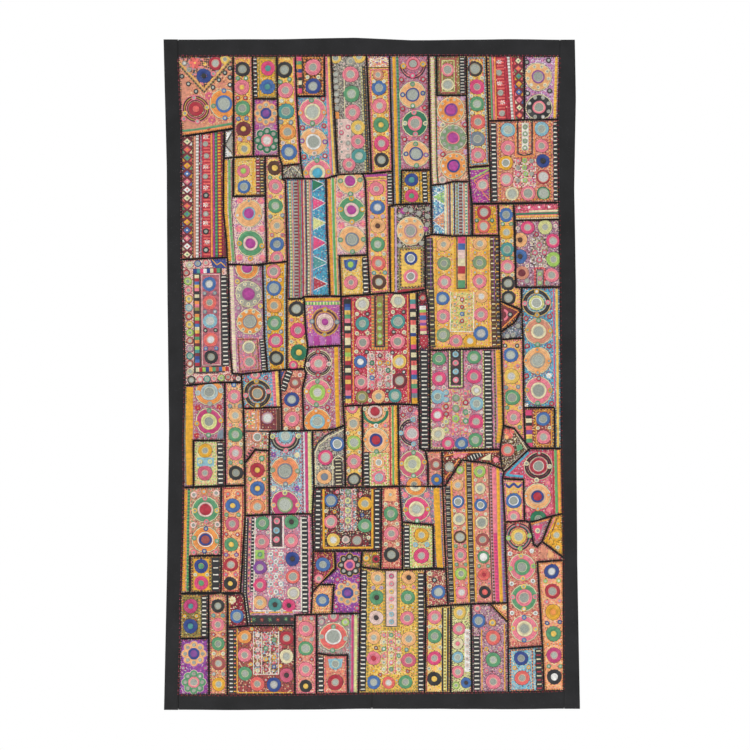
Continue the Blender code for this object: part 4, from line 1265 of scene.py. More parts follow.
ring 242.5,642.6 7 green 3
ring 225.6,643.4 6.4 coral 2.8
buds 2.1 lilac 210.4,548.6 218.4,548.6 pink 240.4,548 250.6,548 mustard 210.2,568.6 217.4,568.6
  239.6,568.4 249.6,568.2 210.6,631.6 233.6,641 maroon 213,608.6 teal 243.4,610.4 crimson 244.6,632
  217.2,635.4
laid pale 223,532 234,532 234,587 223.4,587
line 2.2 olive+gold 220.8,532 221.2,589.4 235.8,589.4 235.8,532
line 1 black 222.6,532 223,587.4 234,587.4 234,532
buds 2.6 fuchsia 228.4,537 pink 228.4,544.6 228.4,559.8 yellow 228.4,552.2 228.4,567.4 sky 228.4,575
  228.4,582.6
sprinkle 1.5 pale+cream+straw+pink+olive 217.4,591.6 239,591.6 239,635 217.4,635
line 0.9 rose 224.4,592 224.4,634.6
line 0.9 rose 232.2,592 232.2,634.6
buds 2.3 pink 220.8,595.8 228.2,602.6 235.6,595.8 220.8,616.4 235.6,609.6 228.2,623.2 green 228.2,595.8
  220.8,609.6 235.6,616.4 228.2,630 cream 220.8,602.6 235.6,602.6 228.2,609.6 228.2,616.4 220.8,623.2
  235.6,623.2 220.8,630 235.6,630
block salmon_medallions
patch salmon crimson+pink+cream+rose 342,483 361.5,481.6 366.5,483.3 370.5,505.5 374,507.5 379,502.5
  400.5,518.5 400.5,521 374.5,523 377.5,575 379.4,607 345,609.5 344.6,563.7 342.5,515
arcs 355.5,497.5 0 360 13.6 12.2 black 12.2 11.3 pink 11.3 10.4 teal 10.4 9.2 black
ring 355.5,497.5 8 yellow 4.2
buds 2.6 crimson 354.6,485.8 lime 366.6,496.5 357,509.4 345.4,499
buds 2.4 white 347,514.6 368.6,511.8 369.8,541.8 348.6,544.6 349,573.8 372.4,574
knots 0.7 crimson 350.4,513 350.6,516.6 365,512 366,515 366.4,540 366.6,544 352,543 352,546.6 352.4,572
  352.6,576 369,572.4 369,576.4
big 359,528 13.6 pink green 8 4.4
big 361,558.5 13.6 green pink 8.4 4.8
big 361.4,589.5 13.8 pink cream 8 4.4
buds 2.6 yellow 357.8,516.8 359.8,539.4 360.5,547.4 360.8,569.8 lime 347.6,529.6 370.2,527 pink 349.6,558
  372,557.6 blue 361,578.2 361,600.8 yellow 350,589 372.6,590
upright salmon 378,506 384,509 384,519 376.6,519.6
column peach 384.6,510 391,514.4 391,518.8 384.6,519
patch mauve crimson+cream+orange+grey 366.5,483.3 389,477 379,502.5 374,507.5 370.5,505.5
line 1.8 orange 368,485 387.6,479.6
laid hot 369.6,487 380,485 376,499 373,501
buds 2.8 cream 374.6,491.6
patch mustard yellow+orange+brown 389,477 400,474.6 400.5,518.5 379,502.5
line 1.4 pink 382.6,498 391.6,478.6
line 1 maroon 386,501 394,479
ring 393.4,496 6.2 mustard 2.8
buds 2.6 mustard 395,484.6
buds 2.2 cream 394.6,508.4
block right_column
patch peach pink+crimson+orange+cream 374.5,523 400.5,521 401,651.7 381,652 379.4,607 377.5,575
dots 1.9 1.1 orange
ring 388.6,532.4 7.6 navy 3.2
ring 389.4,552.2 7.6 crimson 3.8
ring 390,573 8 mustard orange3
ring 390.5,594.6 7.8 green yellow2.8
ring 391,616 7.8 fuchsia 3.2
ring 391.2,637.6 7.6 black white3.6
buds 2.2 lime 382.4,542 395.6,541.6 pink 383.6,562.6 396.4,561.6 navy 384,584 396.6,582.8 orange 384.6,605
  397,604.8 green 385.6,627 397.2,627
patch sky cyan+orange+cream+crimson+peach 345,609.5 379.4,607 381,652 345.5,653
line 1.2 orange+maroon 347.4,611.4 369,610 369.8,650.4 347.8,651 347.4,611.4
ring 358,619 7.2 navy 3
buds 2.2 mustard 351.4,628.6 365.4,628
ring 359,638.6 7.6 coral 3.2
ladder 375.2,609.6 376.4,651 6.2 4.2 cream+crimson
block violet_corner
patch olive brown+crimson+dark 17.5,554.6 45.5,555 45.5,599 17,599.7
line 1.4 olive+gold 19.6,556.8 36.4,557 36.2,597.6 19.2,597.8 19.6,556.8
ring 27.8,567 7.4 fuchsia teal2.6
ring 27.6,587 7.4 navy teal2.8
buds 2.1 mustard 21.8,577 33.6,577
ladder 41.4,557 41.2,598 5.6 4.3
patch purple magenta+dark+brown+lilac 17,599.7 45.8,599 46.3,656 15.5,656
rosette 31,614.5 13 peach lilac navy purple3.6
rosette 31,643 12.6 green pale pink 3.4
buds 2.4 magenta 20.4,628.8 42.4,629
patch salmon yellow+crimson+olive+cream 45.5,555 58,553.8 64.5,555.5 64.5,656 46.3,656
line 1.1 rose+olive 47.8,557 62.4,557.4 62.4,654 48.4,654 47.8,557
ring 55,566.8 6.8 black 2.8
ring 55,585.5 6.8 pink 2.8
ring 55.2,604.6 6.8 green 2.8
ring 55.6,624.2 7 brick 3
ring 55.8,645 7 mustard 3
buds 2.1 teal 50.6,576.4 60,576.4 crimson 50.6,595.4 60,595.2 grey 51,634.8 60.4,634.8 cream 51,614.4
  60.2,614.4
block bodice_bottom_left
patch maroon crimson+dark+cream+rose+maroon 64.5,555.5 77.5,553.7 81,556 85,586.6 65,588.5
flowers 4 cream 69,561
ring 74,577 7 blue 3.6
line 1 mustard 67,558 66.8,586
patch brick dark+olive+crimson+cream+brown 65,588.5 85,586.6 131.6,586.6 132,655.5 64.5,656
ladder 68.4,590 68.4,654 4.8 4 ivory
ladder 72,590 72,654 2.6 4 coral+mustard
line 1.1 mustard 74.4,589.6 74.4,653.4 130,653.4
ring 81.8,597.6 7 orange 3
ring 81.8,615.8 7.2 pink 3
ring 82.2,634.2 7.2 green 3
ring 94.4,644.6 7.4 coral 3
ring 111,645.4 7.4 navy 3.2
ring 123.6,636 7.2 rose dark2.6
ring 123.6,617.2 7.2 cream 3.4
ring 123.6,599 7.2 crimson 3
buds 2.1 mustard 89,589.8 88,625 117.6,626.6 117.8,589.8 pink 89,606 117.4,607.8 crimson 103,640.6
sprinkle 1.5 pale+cream+olive+dark+sky+pink 90.6,592.6 115.6,592.6 115.6,634.6 90.6,634.6
line 0.9 ivory 90.6,592 90.6,635 115.8,635 115.8,592
line 0.9 ivory 98.8,593 98.8,634
line 0.9 ivory 107.2,593 107.2,634
buds 2.4 pale 94.8,596 94.8,603.2 94.8,610.4 94.8,617.6 94.8,624.8 cream 94.8,631.4 pink 103,598 green
  103,609 111.2,600.6 mustard 103,620 111.2,618.4 crimson 103,630.4 111.2,609.6 navy 111.2,627.4
block bottom_medallion
patch salmon pink+crimson+grey+cream 132,576 153.7,575 153.7,655 132,655.5
line 1.1 pink+rose 134,578 151.8,577.2 151.8,653 134,653.4 134,578
ring 142.8,589.6 7.8 pink 3.2
ring 142.8,609.2 7.4 green 4
ring 142.8,630 7.6 pink 3.4
ring 142.8,646.8 6.4 black yellow2.6
buds 2.2 grey 137.4,579.4 148.6,579.2 137.2,600 148.8,600 crimson 137.2,620 148.8,620
patch grey rose+white+slate+crimson 153.7,575 197,574.2 195.6,654.3 185,654.5 184.5,616 166,616 154,614
ring 170.5,577 6 rose 2.6
line 1.1 slate 187.2,576 186.6,653
line 2.2 fuchsia 189.6,576 189.2,653
line 3 straw 193,576 192.6,653
big 170.4,597.4 14.4 coral white 8.2 6.2
buds 2.6 green 170.5,587.4 169.6,611 grey 158.8,597.4 182.6,599.4
ring 158.6,582.6 3.6 mauve 1.6
ring 182.4,583 4 lime 1.8
patch salmon coral+cream+orange+brown 154,614 166,616 184.5,616 185,654.5 153.7,655
line 1.1 coral+rose 162.4,617.8 182.6,617.8 183,652.6 162.6,653 162.4,617.8
laid sky 165,619.6 180,619.6 178.4,628 172.5,631 166.6,628
ring 172.5,624.6 5.6 sky 3.2
ring 172.4,643 8 crimson 3.2
ladder 157.8,617 158,653 5.8 4.8
block bottom_columns
patch yellow cream+orange+pink+peach 263,568 285,566.3 288,566.2 287.5,653.7 261.5,653.9
line 2 black 279.6,569 279.4,652
line 2.2 straw+olive 282,569 281.8,652
line 2 black 285,568.6 284.6,652
line 1 crimson 264.8,570 263.6,652
ring 271.8,578 7 pink 3
ring 271.6,597 7.2 green 3.2
ring 271.4,619 7.2 hot 3
ring 271.2,639.6 7.2 black yellow2.8
buds 2.1 cream 266.4,587.4 277.2,587.4 266.4,608 277.2,608 266,629.4 277,629.4
patch straw dark+pink+cream+grey 288,566.2 308,565 309,653.4 287.5,653.7
ring 296.6,573.4 6.6 yellow 2.8
ring 296,589.6 6.4 pink 2.8
ring 294.6,604.4 5.8 cream pink2.2
ring 294.6,618 5.8 sky 2.6
ring 294.8,632.6 6.2 pink 2.8
ring 303,643.4 5.4 blue dark2
ring 293,646 3.6 lime 1.6
laid white 301.4,590 307,590 307.2,632.6 301.6,632.6
buds 2 pale 304.2,594 304.2,600.4 304.2,606.8 304.2,613.2 304.2,619.6 304.2,626
block bottom_cut_corner
patch mauve brown+cream+pink+grey 308,565 327,564.5 345,583 345.5,653 309,653.4
ladder 313.4,597 314,651.6 6.4 4.2
line 1.2 mustard 318.6,590 319,651
line 1.2 mustard 341.4,584.6 341.8,651
ring 315.6,581.6 7 blue 3.4
ring 314.4,569.2 3.8 pink 1.6
ring 329.4,583.6 3.6 mustard 1.6
ring 330,598.5 7.6 coral 3.2
ring 330.2,620.6 7.6 green 3.2
ring 330.2,642.4 7.8 pink 3.4
buds 2.1 mustard 323.4,609.8 337.4,631.4 pink 337.2,609.6 323.4,631.4 323,590
patch peach coral+cream+mustard 327,564.5 344.6,563.7 345,583
line 1.2 mustard 329.6,566 344,580.6
buds 2.6 cream 341.4,568.4
"""


def linear(name, factor=1.0):
    """A named colour as linear red, green and blue."""
    digits = COLOURS[name]
    values = [int(digits[start:start + 2], 16) / 255 for start in (0, 2, 4)]
    return [min(1.0, factor * ((value + 0.055) / 1.055) ** 2.4) for value in values]


def along(table, place):
    """Read a two-column table at a place between its rows."""
    return float(np.interp(place, [row[0] for row in table], [row[1] for row in table]))


def eased(table, spots):
    """Read a table at many places, easing smoothly from row to row."""
    knots, values = np.array(table, float).T
    index = np.clip(np.searchsorted(knots, spots) - 1, 0, len(knots) - 2)
    share = np.clip((spots - knots[index]) / (knots[index + 1] - knots[index]), 0, 1)
    share = share * share * (3 - 2 * share)
    return values[index] + (values[index + 1] - values[index]) * share


def drape(columns, rows):
    """How far the cloth stands forward at places on the chart, in metres: its folds and small puckers."""
    folds = eased(FOLDS_ACROSS, columns) + eased(FOLDS_DOWN, rows)
    wide = np.sin(columns * 0.31 + rows * 0.12 + 1.3) * np.sin(rows * 0.27 - columns * 0.08)
    narrow = np.sin(columns * 0.83 + 2 * np.sin(rows * 0.19)) * np.sin(rows * 0.77 + np.sin(columns * 0.21))
    return (folds + WIDE_PUCKER * wide + NARROW_PUCKER * narrow) / 1000


def on_cloth(points, level):
    """Chart points (column, row, height) to metres, a level in front of the middle plane."""
    columns, rows, heights = np.asarray(points, float).T
    x = (columns - CENTRE_COLUMN) * SQUARE
    z = (TOP_ROW - rows) * SQUARE
    return np.column_stack((x, -(drape(columns, rows) + level + heights / 1000), z))


def inside(points, corners):
    """Which points lie within an outline."""
    found = np.zeros(len(points), bool)
    for (ax, ay), (bx, by) in zip(corners, corners[1:] + corners[:1]):
        if ay != by:
            crosses = (ay > points[:, 1]) != (by > points[:, 1])
            found ^= crosses & (points[:, 0] < ax + (points[:, 1] - ay) * (bx - ax) / (by - ay))
    return found


def nearest(points, corners):
    """The nearest place on an outline to each point, and its distance."""
    best = np.full(len(points), 1e9)
    found = points[:, :2].copy()
    for start, end in zip(corners, corners[1:] + corners[:1]):
        start = np.array(start)
        run = np.array(end) - start
        share = np.clip((points[:, :2] - start) @ run / (run @ run), 0, 1)
        foot = start + share[:, None] * run
        distance = np.hypot(*(points[:, :2] - foot).T)
        closer = distance < best
        best[closer] = distance[closer]
        found[closer] = foot[closer]
    return found, best


def shrink(corners, margin):
    """Move every side of a clockwise outline inwards by a margin."""
    moved = []
    for index, corner in enumerate(corners):
        before = Vector(corners[index - 1])
        here = Vector(corner)
        after = Vector(corners[(index + 1) % len(corners)])
        arriving = (here - before).normalized()
        leaving = (after - here).normalized()
        first = Vector((-arriving.y, arriving.x))
        second = Vector((-leaving.y, leaving.x))
        moved.append(tuple(here + (first + second) * (margin / max(SHARP_CORNER, 1 + first.dot(second)))))
    return moved


def area_of(corners):
    """Area of an outline in square metres."""
    pairs = zip(corners, corners[1:] + corners[:1])
    return abs(sum(a[0] * b[1] - b[0] * a[1] for a, b in pairs)) / 2 * SQUARE * SQUARE


class Work:
    """Stitches gathered for one piece: chart points, faces, and each face's tint and thread directions."""

    def __init__(self, glass=None):
        self.points = []
        self.faces = []
        self.tints = []
        self.threads = []
        self.glass = glass

    def begin(self):
        """Start a patch, with no motifs that hide its ground yet."""
        self.circles = []
        self.covers = []
        self.first_point = len(self.points)
        self.first_face = len(self.faces)
        if self.glass:
            self.glass.begin()

    def face(self, corners, tint, threads):
        """Add one face."""
        self.faces.append(corners)
        self.tints.append(tint)
        self.threads.append(threads)

    def confine(self, outline):
        """Cut what the patch added, and its mirrors, to an outline."""
        if self.glass:
            self.glass.confine(outline)
        if len(self.points) == self.first_point:
            return
        points = np.array(self.points[self.first_point:], float)
        outside = ~inside(points, outline)
        if not outside.any():
            return
        feet, _ = nearest(points[outside], outline)
        for index, foot in zip(np.flatnonzero(outside), feet):
            self.points[self.first_point + index] = (*foot, min(CUT_HEIGHT, points[index, 2]))
        gone = set((np.flatnonzero(outside) + self.first_point).tolist())
        kept = [
            index for index in range(self.first_face, len(self.faces))
            if not all(corner in gone for corner in self.faces[index])
        ]
        for items in (self.faces, self.tints, self.threads):
            items[self.first_face:] = [items[index] for index in kept]


chance = random.Random(11)


def varied(colour, factor=1.0, spread=TONE_SPREAD):
    """A thread colour, slightly uneven from stitch to stitch."""
    return linear(colour, factor * (1 + chance.uniform(-spread, spread)))


def polar(centre, angle, reach):
    """The place at a reach from a centre, the angle turning clockwise from the top."""
    return centre[0] + reach * math.sin(angle), centre[1] - reach * math.cos(angle)


def rounds(work, centre, profile, count, petals=0, depth=0.0, span=None):
    """Stitched rounds, profile inwards from the rim: (radius, height, colour, brightness) of each band."""
    # Each band's brightness is painted shade on low bands and painted light on raised ones.
    column, row = centre
    begin, end = span or (0, 360)
    turns = count if span is None else count + 1
    wobble = column * 1.7 + row * 2.3
    base = len(work.points)
    for step, band in enumerate(profile):
        for turn in range(turns):
            angle = math.radians(begin + (end - begin) * turn / count)
            twofold = WAVINESS[0] * math.sin(2 * angle + wobble)
            threefold = WAVINESS[1] * math.sin(3 * angle - wobble)
            reach = band[0] * (1 + twofold + threefold)
            if petals and step < SCALLOPED_BANDS:
                reach *= 1 - depth * (1 - abs(math.cos(petals * angle / 2)))
            work.points.append((*polar(centre, angle, reach), band[1]))
    arc = math.radians(end - begin) * profile[0][0] / count
    for step in range(len(profile) - 1):
        outer, inner = profile[step], profile[step + 1]
        for turn in range(count):
            after = (turn + 1) % turns
            near = base + step * turns
            far = near + turns
            threads = (
                (outer[0], turn * arc), (outer[0], (turn + 1) * arc),
                (inner[0], (turn + 1) * arc), (inner[0], turn * arc),
            )
            corners = (near + turn, near + after, far + after, far + turn)
            work.face(corners, varied(outer[2], outer[3]), threads)
    last = profile[-1]
    if last[2]:
        middle = len(work.points)
        work.points.append((column, row, last[1] + 0.1))
        edge = middle - turns
        for turn in range(count):
            after = (turn + 1) % turns
            threads = ((last[0], turn * arc), (last[0], (turn + 1) * arc), (0, (turn + 0.5) * arc))
            work.face((edge + turn, edge + after, middle), varied(last[2], last[3], 0.05), threads)


def bands_of(radius, colour, table):
    """The bands of a table at a radius, in one colour."""
    return [(radius * share, height, colour, brightness) for share, height, brightness in table]


def mirror(glass, centre, radius, height, count):
    """A small round mirror, slightly tilted and slightly domed."""
    column, row = centre
    base = len(glass.points)
    lean = math.sin(column * 5.1 + row * 3.3) * LEAN / (1 + radius)
    tip = math.cos(column * 2.7 - row * 4.9) * LEAN / (1 + radius)
    # Some mirrors are tinted white all over, a painted glint.
    tint = varied("white" if chance.random() < GLINT_SHARE else "mirror", 1.0, MIRROR_SPREAD)
    for share in (1.0, INNER_SHARE):
        for turn in range(count):
            angle = math.tau * turn / count
            across = radius * share * math.sin(angle)
            down = -radius * share * math.cos(angle)
            lift = height + INNER_RISE * (1 - share) + across * lean + down * tip
            glass.points.append((column + across, row + down, lift))
    glass.points.append((column, row, height + MIDDLE_RISE))
    for turn in range(count):
        after = (turn + 1) % count
        corners = (base + turn, base + after, base + count + after, base + count + turn)
        glass.face(corners, tint, ((0, 0), (1, 0), (1, 1), (0, 1)))
        corners = (base + count + turn, base + count + after, base + 2 * count)
        glass.face(corners, tint, ((0, 0), (1, 0), (0.5, 1)))


def middle_of(token):
    """A ring's middle: the colour of its eye, empty for a mirror, and its radius."""
    colour = token.rstrip("0123456789.")
    return colour, float(token[len(colour):])


def fill_middle(work, centre, token, rim):
    """The middle of a ring: a mirror under a light buttonhole rim, or a satin eye."""
    height = MIDDLE_HEIGHT
    colour, radius = middle_of(token)
    # The bands' brightness is painted light and shade: lighter on the rim's crest, darker where it drops to
    # the mirror.
    if colour:
        eye = [(radius, height - 0.1, colour, 0.95), (radius * 0.6, height + 0.25, colour, 1.05)]
        rounds(work, centre, eye, EYE_STEPS)
        return
    bands = [
        (radius + 0.8, height - 0.1, rim, 0.9), (radius + 0.45, height + 0.4, rim, 1.1),
        (radius, height + 0.15, rim, 0.62), (radius - 0.1, height - 0.45, None, 1),
    ]
    rounds(work, centre, bands, RIM_STEPS)
    mirror(work.glass, centre, radius + 0.1, height - 0.4, RING_MIRROR_STEPS)


def ring(work, place, size, colour, token, rim=None):
    """A round motif: centre, radius, colour, its mirror's radius or its eye, and the rim's colour."""
    centre = pair(place)
    radius = float(size)
    inner = middle_of(token)[1]
    # The dark band at the foot is partly a dark outline thread and partly painted shadow; low bands get
    # painted shade.
    bands = [(radius + 0.45, -0.1, "dark", 0.9), *bands_of(radius, colour, RING_BANDS)]
    bands = [band for band in bands if band[0] > inner + 0.8]
    bands += [(inner + 0.7, 0.95, colour, 1.0), (inner + 0.1, 0.15, colour, 0.5)]
    rounds(work, centre, bands, RING_STEPS, 14 if radius > 6.5 else 10, 0.09)
    fill_middle(work, centre, token, rim or colour + " rim")
    work.circles.append((*centre, radius))


def big(work, place, size, colour, ring_colour, ring_size, token, mirrors=0, trim="cream"):
    """A large medallion: centre, radius, colour, its ring, its middle, and small mirrors round it."""
    centre = pair(place)
    radius = float(size)
    ring_radius = float(ring_size)
    inner = middle_of(token)[1]
    # The dark band at the foot is partly a dark outline thread and partly painted shadow; low bands get
    # painted shade.
    bands = [
        (radius + 0.5, -0.1, "dark", 0.9), (radius, 0.25, "cream", 0.85), (radius - 0.5, 0.45, "cream", 0.95),
    ]
    bands += [(radius - inset, height, colour, bright) for inset, height, bright in MEDALLION_BANDS]
    # A painted shadow groove round the inner ring.
    bands.append((ring_radius + 0.2, 0.7, colour, 0.6))
    bands = [band for band in bands if band[0] > ring_radius + 0.1]
    bands += [(ring_radius - 0.1, 1.2, ring_colour, 1.0), (ring_radius - 0.9, 1.35, ring_colour, 1.1)]
    if ring_radius - 1.7 > inner + 0.9:
        bands.append((ring_radius - 1.7, 1.1, ring_colour, 0.9))
    bands += [(inner + 0.6, 1.0, ring_colour, 1.05), (inner + 0.1, 0.1, ring_colour, 0.5)]
    rounds(work, centre, bands, MEDALLION_STEPS, 16, 0.045)
    fill_middle(work, centre, token, ring_colour + " rim")
    for turn in range(int(mirrors)):
        angle = math.tau * (turn + 0.5) / int(mirrors)
        bud(work, polar(centre, angle, (radius + ring_radius) / 2 + 0.3), 2.1, trim)
    work.circles.append((*centre, radius))


def rosette(work, place, size, colour, outline, ring_colour, token):
    """A flower of eight round petals with mirrors: centre, radius, petals, their outline, ring and middle."""
    centre = pair(place)
    radius = float(size)
    petal = [(radius * 0.34, -0.1, outline, 0.9), *bands_of(radius, colour, PETAL_BANDS)]
    for turn in range(ROSETTE_PETALS):
        spot = polar(centre, math.tau * turn / ROSETTE_PETALS, PETAL_REACH * radius)
        rounds(work, spot, petal, EYE_STEPS)
        bud(work, spot, radius * 0.16, "grey")
    rounds(work, centre, bands_of(radius, ring_colour, ROSETTE_BANDS), ROSETTE_STEPS)
    fill_middle(work, centre, token, ring_colour + " rim")
    work.circles.append((*centre, radius))


def arcs(work, place, begin, end, *bands):
    """Stitched arcs round a centre between two angles: outer radius, inner radius and colour of each."""
    span = (float(begin), float(end))
    for outer, inner, colour in zip(bands[::3], bands[1::3], bands[2::3]):
        outer, inner = float(outer), float(inner)
        # Painted shade at the low edges of each arc and painted light along its crest.
        profile = [
            (outer, -0.1, colour, 0.8), (outer - 0.3, 0.8, colour, 1.05),
            ((outer + inner) / 2, 1.0, colour, 1.0), (inner + 0.3, 0.8, colour, 0.8), (inner, -0.1, None, 1),
        ]
        count = max(4, round((span[1] - span[0]) / ARC_STEP_DEGREES))
        rounds(work, pair(place), profile, count, span=span)


def bud(work, centre, radius, colour):
    """A small stitched ring with its own mirror."""
    bands = [*bands_of(radius, colour, BUD_BANDS), (radius * 0.5, 0.95, None, 1)]
    rounds(work, centre, bands, BUD_STEPS)
    mirror(work.glass, centre, radius * 0.55, MIDDLE_HEIGHT, BUD_MIRROR_STEPS)
    work.circles.append((*centre, radius))


def knot(work, centre, radius, colour, height=0.6):
    """A knot of thread."""
    base = len(work.points)
    turn = chance.uniform(0, 1)
    for step in range(6):
        work.points.append((*polar(centre, math.tau * (step + turn) / 6, radius), 0))
    work.points.append((*centre, height))
    tint = varied(colour)
    for step in range(6):
        threads = ((0, step * 0.2), (0, step * 0.2 + 0.2), (0.4, step * 0.2 + 0.1))
        work.face((base + step, base + (step + 1) % 6, base + 6), tint, threads)


def stitch(work, start, end, width, height, tint, base=0.0):
    """One raised stitch from a place to another."""
    start, end = Vector(start), Vector(end)
    run = end - start
    length = run.length
    if length < 1e-4:
        return
    run /= length
    side = sideways(run, width / 2)
    first = len(work.points)
    pull = min(width * 0.4, length * 0.3)
    for place, lift in (
        (start - side, 0), (end - side, 0), (end + side, 0), (start + side, 0),
        (start + run * pull, 1), (end - run * pull, 1),
    ):
        work.points.append((place.x, place.y, base + height * lift))
    a, b, c, d, e, f = range(first, first + 6)
    half = width / 2
    work.face((a, b, f, e), tint, ((0, -half), (length, -half), (length, 0), (0, 0)))
    work.face((c, d, e, f), tint, ((length, half), (0, half), (0, 0), (length, 0)))
    work.face((d, a, e), tint, ((0, half), (0, -half), (pull, 0)))
    work.face((b, c, f), tint, ((length, -half), (length, half), (length - pull, 0)))


def sideways(direction, reach):
    """A step across a direction."""
    return Vector((-direction.y, direction.x)) * reach


def walk(path, step):
    """Even steps along a line: (place, direction, distance)."""
    found = []
    travelled = 0.0
    for start, end in zip(path, path[1:]):
        start, end = Vector(start), Vector(end)
        length = (end - start).length
        if length < 1e-6:
            continue
        count = max(1, round(length / step))
        for index in range(count):
            share = index / count
            found.append((start.lerp(end, share), (end - start) / length, travelled + length * share))
        travelled += length
    last = Vector(path[-1])
    found.append((last, found[-1][1], travelled))
    return found


def strip(work, path, width, height, colour, other=None, step=1.6, closed=False):
    """A couched band along a line, in one colour or two by turns."""
    if closed:
        path = list(path) + [path[0], path[1]]
    stations = walk(path, step)
    base = len(work.points)
    profile = next(shape for widest, shape in BAND_PROFILES if width <= widest)
    lanes = len(profile) - 1
    for index, (place, direction, _) in enumerate(stations):
        if 0 < index < len(stations) - 1:
            direction = (stations[index + 1][0] - stations[index - 1][0]).normalized()
        side = sideways(direction, width / 2)
        for share, lift in profile:
            spot = place + side * share
            work.points.append((spot.x, spot.y, height * lift))
    for index in range(len(stations) - 1):
        near = base + index * (lanes + 1)
        far = near + lanes + 1
        start, end = stations[index][2], stations[index + 1][2]
        tint = varied(other if other and index % 2 else colour)
        for lane in range(lanes):
            u, v = lane * width / lanes, (lane + 1) * width / lanes
            corners = (near + lane, near + lane + 1, far + lane + 1, far + lane)
            threads = ((u, start + u * 0.5), (v, start + v * 0.5), (v, end + v * 0.5), (u, end + u * 0.5))
            work.face(corners, tint, threads)


def dashes(work, path, width, colour, closed=False, height=DASH_HEIGHT):
    """Running stitches along a line."""
    if closed:
        path = list(path) + [path[0]]
    colours = colour.split("+")
    for index, (place, direction, _) in enumerate(walk(path, DASH_LENGTH + DASH_GAP)[:-1]):
        tint = varied(colours[index % len(colours)])
        stitch(work, place, place + direction * DASH_LENGTH, width, height, tint, DASH_BASE)


def satin(work, corners, colour, height=0.8, upright=False):
    """A padded satin area."""
    middle = Vector((sum(c[0] for c in corners), sum(c[1] for c in corners))) / len(corners)
    base = len(work.points)
    count = len(corners)
    size = min((Vector(corner) - middle).length for corner in corners)
    for share, lift in ((0.0, -0.1), (min(0.4, 0.9 / max(size, 0.5)), 0.85)):
        for corner in corners:
            spot = Vector(corner).lerp(middle, share)
            work.points.append((spot.x, spot.y, height * lift))
    work.points.append((middle.x, middle.y, height))

    def thread(index):
        point = work.points[index]
        return (point[1], point[0]) if upright else (point[0], point[1])

    # The sloping sides are tinted darker than the top, a painted shade.
    for index in range(count):
        after = (index + 1) % count
        loop = (base + index, base + after, base + count + after, base + count + index)
        work.face(loop, varied(colour, 0.9), tuple(thread(corner) for corner in loop))
        loop = (base + count + index, base + count + after, base + 2 * count)
        work.face(loop, varied(colour, 1.0, 0.04), tuple(thread(corner) for corner in loop))


def laid(work, corners, colour, upright=False):
    """An area covered by rows of laid thread."""
    axis = 0 if upright else 1
    work.covers.append(corners)
    levels = [corner[axis] for corner in corners]
    for level in np.arange(min(levels) + 0.6, max(levels), LAID_PITCH):
        cuts = []
        for start, end in zip(corners, corners[1:] + corners[:1]):
            if (start[axis] > level) != (end[axis] > level):
                share = (level - start[axis]) / (end[axis] - start[axis])
                cuts.append(start[1 - axis] + share * (end[1 - axis] - start[1 - axis]))
        cuts.sort()
        for near, far in zip(cuts[::2], cuts[1::2]):
            ends = [(level, near), (level, far)] if upright else [(near, level), (far, level)]
            strip(work, ends, LAID_WIDTH, LAID_HEIGHT, colour, step=3.2)


def scattered(corners, pitch, margin, stray):
    """Places in columns over an outline's box, each a little off its place."""
    columns = [corner[0] for corner in corners]
    rows = [corner[1] for corner in corners]
    return np.array([
        (column + chance.uniform(-stray, stray), row + chance.uniform(-stray, stray))
        for column in np.arange(min(columns) + margin, max(columns), pitch)
        for row in np.arange(min(rows) + margin, max(rows), pitch)
    ])


def sprinkle(work, corners, pitch, colours):
    """An area of close small stitches in several colours."""
    work.covers.append(corners)
    spots = scattered(corners, pitch, pitch / 2, 0.2 * pitch)
    for column, row in spots[inside(spots, corners)]:
        angle = chance.choice(FLECK_ANGLES)
        reach = Vector((math.cos(angle), math.sin(angle))) * (pitch * 0.5)
        spot = Vector((column, row))
        stitch(work, spot - reach, spot + reach, pitch * 0.72, 0.5, varied(chance.choice(colours)))


def band_outline(start, end, width):
    """The four corners of a straight band."""
    start, end = Vector(start), Vector(end)
    side = sideways((end - start).normalized(), width / 2)
    return [tuple(spot) for spot in (start - side, end - side, end + side, start + side)]


def ladder(work, start, end, width, pitch, rungs="ivory", ground="black"):
    """A dark band with light rungs across it."""
    strip(work, [start, end], width * LADDER_GROUND, LADDER_HEIGHT, ground, step=LADDER_STEP)
    run = Vector(end) - Vector(start)
    pitch = float(pitch)
    count = max(1, round(run.length / pitch))
    side = sideways(run.normalized(), 1)
    colours = rungs.split("+")
    work.covers.append(band_outline(start, end, width * LADDER_COVER))
    for index in range(count):
        place = Vector(start) + run * ((index + 0.5) / count)
        reach = side * (width * (RUNG_REACH + chance.uniform(*RUNG_STRAY)))
        tint = varied(colours[index % len(colours)])
        size = (min(RUNG_WIDTH, pitch * RUNG_SHARE), RUNG_HEIGHT)
        stitch(work, place - reach, place + reach, *size, tint, RUNG_BASE)


def bars(work, start, end, width, *names):
    """A column of satin bars; each name may carry its share, as in blue*6."""
    lengths = [float(name.split("*")[1]) if "*" in name else BAR_LENGTH for name in names]
    total = sum(lengths)
    run = Vector(end) - Vector(start)
    side = sideways(run.normalized(), width / 2)
    work.covers.append(band_outline(start, end, width + 0.8))
    done = 0.0
    for name, length in zip(names, lengths):
        colour = name.split("*")[0]
        rows = max(2, round(length / total * run.length / BAR_PITCH))
        for index in range(rows):
            near, far = [
                Vector(start) + run * ((done + length * (index + end_share) / rows) / total)
                for end_share in BAR_ENDS
            ]
            place = (near + far) / 2
            size = ((far - near).length * BAR_SPREAD, BAR_HEIGHT)
            stitch(work, place - side, place + side, *size, varied(colour), BAR_BASE)
        done += length


def flower(work, centre, radius, colour):
    """A small flower of satin petals."""
    for index in range(FLOWER_PETALS):
        tip = polar(centre, math.tau * index / FLOWER_PETALS + centre[0], radius)
        stitch(work, centre, tip, radius * 0.75, 0.8, varied(colour))
    knot(work, centre, radius * 0.34, "yellow", 1.1)


